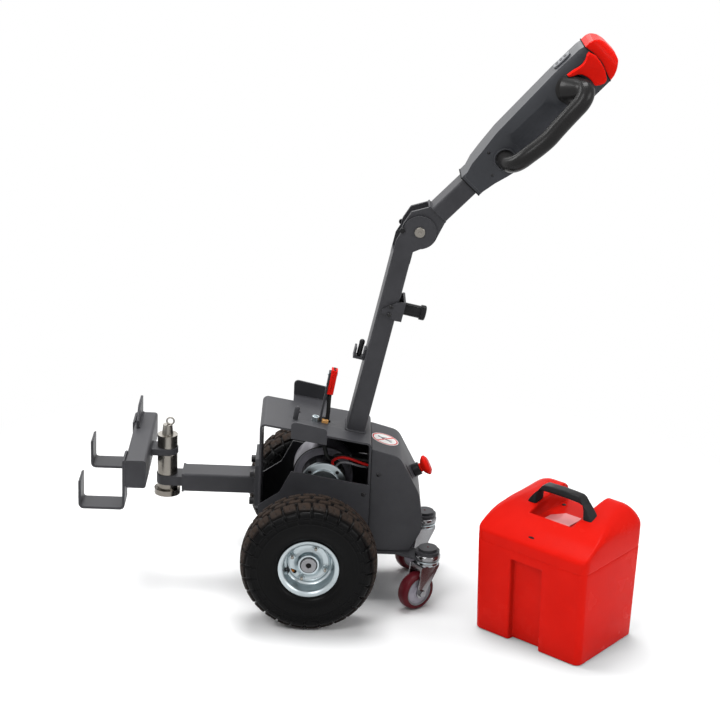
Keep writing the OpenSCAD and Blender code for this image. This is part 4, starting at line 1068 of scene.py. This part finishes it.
# %% [markdown]
# The lid rises from a low front edge to two rounded shoulders, with a notch between them
# for the carrying handle. Its top is worked out as a height over a grid: the side outline
# gives the rise from front to back, a second outline rounds the shoulders off sideways,
# and the notch and the rim are rounded in the same way. The grid is finer where it bends.

# %% The height of the battery's lid
LID_SIDE = [
    (-103.5, 208.5), (-102.4, 211.4), (-100, 213.6), (-96, 216.6), (-80, 226), (-64, 234.6),
    (-48, 241.4), (-34, 246.4), (-20, 250.6), (-5, 254.4), (10, 257.6), (25, 260.4),
    (40, 263), (54, 265.2), (68, 266.8), (78, 266.6), (84, 264.6), (89, 260), (92, 253),
    (93.5, 244)]
NOTCH_FRONT, NOTCH_HALF, NOTCH_Z = -38, 47, 230
SHOULDER_LOW, SHOULDER_MORE, SHOULDER_FALL = 3.5, 41, 0.92
LID_T, LID_W = CASE_T + CASE_LEAN, CASE_W + CASE_FLARE


def run_along(outline, x):
    """The height of an outline at a distance, in straight steps between its points."""
    for (x0, z0), (x1, z1) in zip(outline, outline[1:]):
        if x <= x1:
            return z0 + (z1 - z0) * max(0, (x - x0) / (x1 - x0))
    return outline[-1][1]


def rounding(distance, radius):
    """How much a rounded rim falls below its flat at a distance from the edge."""
    d = min(max(distance, 0), radius)
    return radius - math.sqrt(max(radius ** 2 - (radius - d) ** 2, 0))


def lid_top(x, y):
    # The shoulders fall off sideways in a big round, and less so near the low front
    reach = SHOULDER_LOW + SHOULDER_MORE * ease(x, -92, 76)
    z = run_along(LID_SIDE, x) - rounding(LID_W / 2 - abs(y), reach) * SHOULDER_FALL
    # The notch runs from its front wall out through the back
    inside = min(x - NOTCH_FRONT, NOTCH_HALF - abs(y))
    if inside > 0:
        floor_z = NOTCH_Z + rounding(inside, 6) * 0.5
        z = min(z, max(floor_z, z - 60 * ease(inside, 0, 2.4) - 2))
    elif inside > -3.5:
        z -= rounding(-inside, 3.5) * 0.8
    return z


# %% The battery's lid
def grid_lines(low, high, step, finer):
    """Grid lines from low to high, closer together at both ends and at the finer spots."""
    lines = {round(low + i * step, 3) for i in range(int((high - low) / step) + 1)}
    for d in (0, 0.35, 1.1, 2.4):
        lines |= {low + d, high - d}
    for spot in finer:
        lines |= {round(spot + d, 3) for d in (-3.6, -2.2, -1.1, -0.3, 0, 0.5, 1.2, 2.0, 3.4)}
    return sorted(v for v in lines if low <= v <= high)


def lid_shape():
    front, back = -CASE_LEAN / 2 - LID_T / 2, -CASE_LEAN / 2 + LID_T / 2
    half, r = LID_W / 2, CASE_R
    xs = grid_lines(front, back, 6, (NOTCH_FRONT,))
    ys = grid_lines(-half, half, 6, (-NOTCH_HALF, NOTCH_HALF))
    points, index = [], {}
    for i, x in enumerate(xs):
        for j, y in enumerate(ys):
            px, py = x, y
            cx = min(max(x, front + r), back - r)
            cy = min(max(y, r - half), half - r)
            if cx != x and cy != y:
                # Square rings of the corner become round ones
                reach = math.hypot(x - cx, y - cy)
                size = max(abs(x - cx), abs(y - cy))
                px, py = cx + (x - cx) / reach * size, cy + (y - cy) / reach * size
                rim = r - size
            else:
                rim = min(px - front, back - px, half - abs(py))
            index[i, j] = len(points)
            points.append((px, py, lid_top(px, py) - rounding(rim, 3.2)))
    a, b = len(xs) - 1, len(ys) - 1
    faces = [(index[i, j], index[i + 1, j], index[i + 1, j + 1], index[i, j + 1])
             for i in range(a) for j in range(b)]
    last = ([index[i, 0] for i in range(a)] + [index[a, j] for j in range(b)]
            + [index[i, b] for i in range(a, 0, -1)] + [index[0, j] for j in range(b, 0, -1)])
    n, middle = len(last), Vector(((front + back) / 2, 0))
    # The skirt goes down to the seam, where it draws in a little
    for z, inset in ((192.4, 0), (191.0, 0.2), (190.5, 0.1), (190.0, 0.1)):
        fresh = []
        for k in last:
            x, y = points[k][0], points[k][1]
            inward = (middle - Vector((x, y))).normalized() * inset
            fresh.append(len(points))
            points.append((x + inward.x, y + inward.y, z))
        faces += [(last[k], last[(k + 1) % n], fresh[(k + 1) % n], fresh[k]) for k in range(n)]
        last = fresh
    faces.append(tuple(last))
    return points, faces


lid = Workpiece("battery_lid_moulding").add(lid_shape(), red_gloss, BATTERY)
lid.mount("battery_pack", "red_plastic", "battery_lid", crisp=62)

# %% [markdown]
# The carrying handle is a stout black bar on two broad feet. It is a loft of rounded
# rectangles along a route, wider at the feet. Under it, the bottom of the notch holds a
# clear window, which shows as a pale pink sheet: its pale pink is a painted highlight.

# %% The battery's handle
def bar_ring(y, z, lean, length, height):
    """A rounded rectangle across the handle's route, which runs sideways."""
    c, s = swing(lean)
    return [(a, y + b * s, z + b * c) for a, b in oval(length, height, 28, 5)]


STATIONS = [
    (-66, 204, 74, 27, 28), (-65, 232, 76, 27, 28), (-63.5, 250, 70, 27, 26),
    (-59.5, 265, 58, 26, 21), (-53, 277, 44, 24, 17), (-46, 284.4, 26, 23, 15),
    (-39, 287.2, 8, 22.5, 14), (-18, 288.2, 0, 22, 14), (0, 288.4, 0, 22, 14)]
OTHER_HALF = [(-y, z, -lean, a, b) for y, z, lean, a, b in reversed(STATIONS[:-1])]
bar = Workpiece("carry_handle")
bar.add(loft([bar_ring(*s) for s in STATIONS + OTHER_HALF]), moulded_black, BATTERY)
bar.mount("battery_pack", "black_plastic", "battery_handle", crisp=50)

# %% The battery's window and small details
window_highlight_pink, tree, shader = new_material("window_painted_highlight")
film = noise(tree, 30, 2, 0.5)
# The window's pale pink is a painted highlight on it
feed(tree, shader.inputs["Base Color"],
     two_tone(tree, film, (0.80, 0.20, 0.20), (0.86, 0.26, 0.26)))
feed(tree, shader.inputs["Roughness"], spread(tree, film, 0.3, 0.7, 0.06, 0.14))
extras = Workpiece("battery_window")
PANE = [(-34.5, -26), (-34.5, 12), (-20, 28), (4, 28), (30, 10), (30, -26)]
extras.add(slab(PANE, 230.2, 231.4), window_highlight_pink, BATTERY)
for y in (-36, 36):
    extras.add(flat_screw(4), black_steel, shifted(BATTERY, 62, y, 230.1))
# A half-moon finger nick in the low front of the lid, drawn as a dark patch of painted shade
nick = [(-88.6 + 2.6 * s, 8 + 6.6 * c) for c, s in map(swing, range(0, 181, 15))]
nick += [(-88.4 - 1.4 * s, 8 - 6.6 * c) for c, s in map(swing, range(15, 180, 15))]
extras.add(loft([[(x, y, run_along(LID_SIDE, x) + rise) for x, y in nick]
                 for rise in (-1, 0.35)]), dark_joint_and_painted_shade, BATTERY)
extras.mount("battery_pack", "red_plastic")

# %% [markdown]
# The butterfly throttles sit on a short shaft through the head, one each side, and swing
# under the thumbs. Each is a fan with a waist: a loft from a wide inner face to a
# smaller outer face, so that its edges are soft and its middle dips.

# %% The throttles
FAN = [
    (452, 32.2), (456.3, 18.3), (455.4, 9), (454.2, 0.8), (452, -7), (449, -15.1),
    (441.3, -27), (434.2, -29.8), (425, -26), (418, -20.2), (418.4, -16), (419.5, -11.9),
    (419.6, -5), (418.4, 2.3), (415, 12), (406.1, 20.7), (395.5, 25), (395.8, 29.4),
    (404, 28.4), (413.1, 26.4), (420, 24.6), (426, 24.1), (432, 24.6), (437, 26),
    (442, 28.4), (445.7, 31.2)]
FAN_MIDDLE = Vector((434, 6))
for side, word in SIDES:
    rings = []
    for out, size in ((38.6, 0.90), (39.2, 0.98), (41, 1.0), (46, 1.0), (49, 0.97),
                      (50.6, 0.90), (51, 0.80), (49.6, 0.5)):
        ring = [FAN_MIDDLE + (Vector(p) - FAN_MIDDLE) * size for p in FAN]
        rings.append([(p.x, side * out, p.y) for p in ring])
    fan = Workpiece("throttle_fan_" + word).add(loft(rings), red_gloss, TILLER)
    fan.mount("tiller", "red_plastic", "throttle_" + word, crisp=34)

# %% [markdown]
# The head's own small parts: the neck socket that takes each handle's lower end, the dark
# gaps at the red nose and round the sleeve, the pad's buttons, and the screws that hold
# the two half shells.

# %% Details of the control head
SEAM_LINE = [(452.2, 42.6), (455.2, 20), (454.2, -2), (447.2, -21), (443.4, -36)]
SLEEVE_U, SLEEVE_Y, SLEEVE_LOW, SLEEVE_HIGH = 127.2, 31.2, -24.8, 22.4
head = Workpiece("head_details")
for side in (-1, 1):
    head.add(lathe([(18.4, -2), (21.6, -2), (21.8, 1.2), (21.0, 2.6), (19.4, 3.2),
                    (18.4, 2.8)], 48, ring=True), head_plastic,
             shifted(TILLER, 209, side * 36.1, -8) @ sideways(side))
    for u, y, v in ((172, 32.6, -14), (196, 35.4, 22), (300, 37.2, -26), (352, 34.6, -27)):
        head.add(flat_screw(3.2), black_steel,
                 shifted(TILLER, u, side * y, v) @ sideways(side))
# Dark joint between the head and its nose
for side in (-1, 1):
    head.add(rod(smooth_route([(u, side * 38.1, v) for u, v in SEAM_LINE]), 1.1, 8), dark_joint_and_painted_shade,
             TILLER)
head.add(rod([(452.2, y, 42.4) for y in (-31, 0, 31)], 1.0, 8), dark_joint_and_painted_shade, TILLER)
# The pad's buttons
for u in (394, 404, 414):
    head.add(slab(oval(6.4, 14, 24, 3), 48, 48.7), head_plastic, shifted(TILLER, u, 0, 0))
# Parting line of the sleeve on the arm
head.add(rod([(SLEEVE_U, y, v) for y, v in (
    (-SLEEVE_Y, SLEEVE_LOW), (SLEEVE_Y, SLEEVE_LOW), (SLEEVE_Y, SLEEVE_HIGH),
    (-SLEEVE_Y, SLEEVE_HIGH), (-SLEEVE_Y, SLEEVE_LOW))], 1.0, 6), dark_joint_and_painted_shade, TILLER)
head.mount("tiller", "head_plastic")

# %% [markdown]
# Bolts, welds and small fittings. Black socket bolts hold the drawbar's flange, low
# screws hold the side panels, and each welded joint shows a rippled bead.

# %% Bolts and screws on the chassis
bolts = Workpiece("chassis_bolts")
for y in (-37, 37):
    for z in (186, 243):
        seat = along((-110, y, z), (0, 1, 0), (-1, 0, 0))
        bolts.add(washer(9.5), black_steel, seat)
        bolts.add(socket_bolt(7.5, 9), black_steel, shifted(seat, 0, 0, 1.4))
for side in (-1, 1):
    bolts.add(flat_screw(4.6), black_steel, outward(100, 79, 226, side))
    bolts.add(flat_screw(4.4), black_steel, outward(127.5, 71, 264.9, side))
bolts.add(socket_bolt(7.4, 9), zinc_plate, on_plate(2.4, -8))
bolts.add(socket_bolt(3.4, 2), black_steel, on_plate(-30, 20))
# The cable slot's dark bottom is painted shade, and a pale block sits where the lead passes
SLOT_SEAT = on_plate(22)
bolts.add(slab(oval(60, 30, 32, 6), -9, -7.4), dark_joint_and_painted_shade, SLOT_SEAT)
bolts.add(slab([(x - 1, y - 10) for x, y in oval(12.5, 9, 20, 8)], 0.1, 5.4), kraft_card,
          SLOT_SEAT)
bolts.add(slab([(x - 1, y - 1.5) for x, y in oval(12.5, 7, 20, 8)], 0.1, 6.4), dark_joint_and_painted_shade,
          SLOT_SEAT)
for x, y in ((-60, -60), (-60, 60), (60, -60), (60, 60), (150, -40), (150, 40)):
    bolts.add(hex_bolt(13, 5), zinc_plate, along((x, y, 99), (1, 0, 0), (0, 0, -1)))
bolts.mount("tug_chassis", "pin_steel")

# %% Weld beads
FOOT_A, FOOT_B = 18.6, 28.6
beads = Workpiece("chassis_welds")
beads.add(weld([(x, y, 0) for x, y in (
    (-FOOT_A, 4 - FOOT_B), (-FOOT_A, FOOT_B - 4), (4 - FOOT_A, FOOT_B), (FOOT_A - 4, FOOT_B),
    (FOOT_A, FOOT_B - 4), (FOOT_A, 4 - FOOT_B), (FOOT_A - 4, -FOOT_B), (4 - FOOT_A, -FOOT_B),
    (-FOOT_A, 4 - FOOT_B))], 2.6), powder_coat, on_plate(FOOT_X, 0, 0.6))
for y0, z0, y1, z1 in ((-28, 196, 28, 196), (-28, 233, 28, 233), (-28, 196, -28, 233),
                       (28, 196, 28, 233)):
    beads.add(weld([(-110.6, y0, z0), (-110.6, y1, z1)], 2.6), powder_coat)
beads.mount("tug_chassis", "powder")
bar_beads = Workpiece("coupler_welds")
for start, end, radius in (
        *(((-353.2, y, 247), (-353.2, y, 296), 2.0) for y in (-123.5, -72.5, 72.5, 123.5)),
        ((-341, 38, 299.4), (-341, 39, 299.4), 1.6),
        ((-341, 122, 299.4), (-341, 121, 299.4), 1.6),
        ((-341.2, 38, 299.6), (-341.2, 122, 299.6), 2.0),
        ((-313.4, -20, 280.4), (-313.4, 20, 280.4), 2.2),
        ((-313.4, -20, 266.6), (-313.4, 20, 266.6), 2.2)):
    bar_beads.add(weld([start, end], radius), powder_coat)
bar_beads.mount("coupler", "powder")

# %% [markdown]
# The column carries two black clamp knobs beside the tiller's pivot and the pin's washer.
# The control cover has an oval sticker on its sloping top: a plain white disc with a red
# ring and a struck-out figure, laid on in thin layers so that each edge stays crisp.

# %% Column fittings
fit = Workpiece("column_fittings")
for side in (-1, 1):
    fit.add(lathe([(0, 0), (9.6, 0), (9.6, 1.2), (8.8, 1.9), (3, 2.1), (2.4, 1.5), (0, 1.5)],
                  32), pin_steel, outward(PIVOT[0], 29.6, PIVOT[2], side))
    fit.add(lathe([(0, 0), (4.8, 0), (5.2, 0.8), (5.2, 3.6), (4.2, 4.8), (0, 5.2)], 20),
            moulded_black, outward(152, 28.1, 741, side))
    for u in (248, 264):
        fit.add(flat_screw(4.2), black_steel, shifted(COLUMN, 4, side * 34.3, u)
                @ sideways(side))
for u in (300, 318):
    fit.add(flat_screw(3.6), black_steel, shifted(COLUMN, 18, 0, u) @ turned(90, "Y"))
fit.add(lathe([(0, 36), (5.4, 36), (5.4, 39), (4.6, 41.4), (2.6, 43), (0, 43.4)], 24),
        moulded_black, shifted(COLUMN, -29, 0, 134))
fit.mount("tug_chassis", "pin_steel")

# %% The cover's sticker
COVER_TOP = along((139.5, 0, 317 - 15 * (139.5 - 112.3) / 54.7), (54.7, 0, -15), (15, 0, 54.7))
label = Workpiece("cover_sticker")
label.add(slab(oval(54.6, 52, 64), 0.02, 0.22), sticker_white, COVER_TOP)
ring_out, ring_in = oval(51.6, 49, 64), oval(46.4, 43.8, 64)
label.add(loft([[(x, y, z) for x, y in line] for line, z in (
    (ring_in, 0.2), (ring_in, 0.34), (ring_out, 0.34), (ring_out, 0.2), (ring_in, 0.2))],
    caps=False), sticker_red, COVER_TOP)
label.add(slab([(x - 12, y + 6) for x, y in oval(6, 6, 24)], 0.2, 0.36), wire_grey, COVER_TOP)
for start, end, wide in (((-9, 4), (6, -3), 5.0), ((5, -3), (14, -1), 2.6),
                         ((5, -3), (13, -9), 2.6), ((-7, 4), (-4, -7), 2.2),
                         ((-6, 4), (3, 8), 2.2)):
    start, end = Vector(start), Vector(end)
    ahead = (end - start).normalized() * wide / 2
    side = Vector((-ahead.y, ahead.x))
    limb = [tuple(p) for p in (start + side, end + side, end - side, start - side)]
    label.add(slab(limb, 0.2, 0.36), wire_grey, COVER_TOP)
label.add(slab([(-17.2, -14.6), (-15.2, -16.6), (17.2, 14.6), (15.2, 16.6)], 0.34, 0.44),
          sticker_red, COVER_TOP)
label.mount("tug_chassis", "powder")

# %% The cover's slot and the connector's sockets
small = Workpiece("cover_slot")
face = along((187, -50, 264), (0, 1, 0), (76, 0, 41))
# The cover's slot is a thin dark patch: painted shade for the opening
small.add(slab(oval(34, 9, 24, 4), 0.05, 0.5), dark_joint_and_painted_shade, face @ turned(90, "Z"))
BLOCK = on_plate(CONNECTOR_X)
# The connector's sockets are dark patches: painted shade for the holes
for y in (-5, 5):
    small.add(slab([(x + 10, v + y) for x, v in oval(5, 6.4, 20, 4)], 108.0, 108.5), dark_joint_and_painted_shade,
              BLOCK)
    small.add(slab([(x - 0.2, v) for x, v in oval(5, 2.6, 16, 4)], 0, 0.5), zinc_plate,
              shifted(BLOCK, 16.2, y, 100) @ turned(90, "Y"))
for z in (70, 96):
    small.add(flat_screw(2.6), zinc_plate, shifted(BLOCK, 0.1, 0, z) @ turned(-90, "Y"))
small.mount("tug_chassis", "powder")

# %% [markdown]
# Behind the motor, an inner skirt closes the far wheel arch, and the picture shows it black. It
# is a thin sheet folded under the top plate, coloured near-black as painted shade for the dark
# inside.

# %% The inner skirt
SKIRT_A, SKIRT_B, SKIRT_FOOT = -4, 109.4, 250
TOP_EDGE = [(SKIRT_B, plate_z(SKIRT_B) - 4.5), (60, plate_z(60) - 6),
            (SKIRT_A, plate_z(SKIRT_A) - 6)]
SHEET = [(SKIRT_A, SKIRT_FOOT), (SKIRT_B, SKIRT_FOOT)] + TOP_EDGE
FOLD = [(x, z - 0.2) for x, z in TOP_EDGE] + [(SKIRT_A, TOP_EDGE[2][1] - 1.6),
                                              (SKIRT_B, TOP_EDGE[0][1] - 1.6)]
skirt = Workpiece("inner_skirt")
# The sheet is coloured near-black as painted shade
for outline, faces_y in ((SHEET, (69.2, 70.8)), (FOLD, (63.5, 70.6))):
    skirt.add(loft([[(x, y, z) for x, z in outline] for y in faces_y]), dark_joint_and_painted_shade)
skirt.mount("tug_chassis", "powder")

# %% [markdown]
# Last, the script checks that no CAD node is left without a real material.

# %% List the nodes left without a node material
left_over = [name for name, obj in nodes.items()
             if not any(m and m.use_nodes for m in obj.data.materials)]
print("nodes without a node material:", left_over)
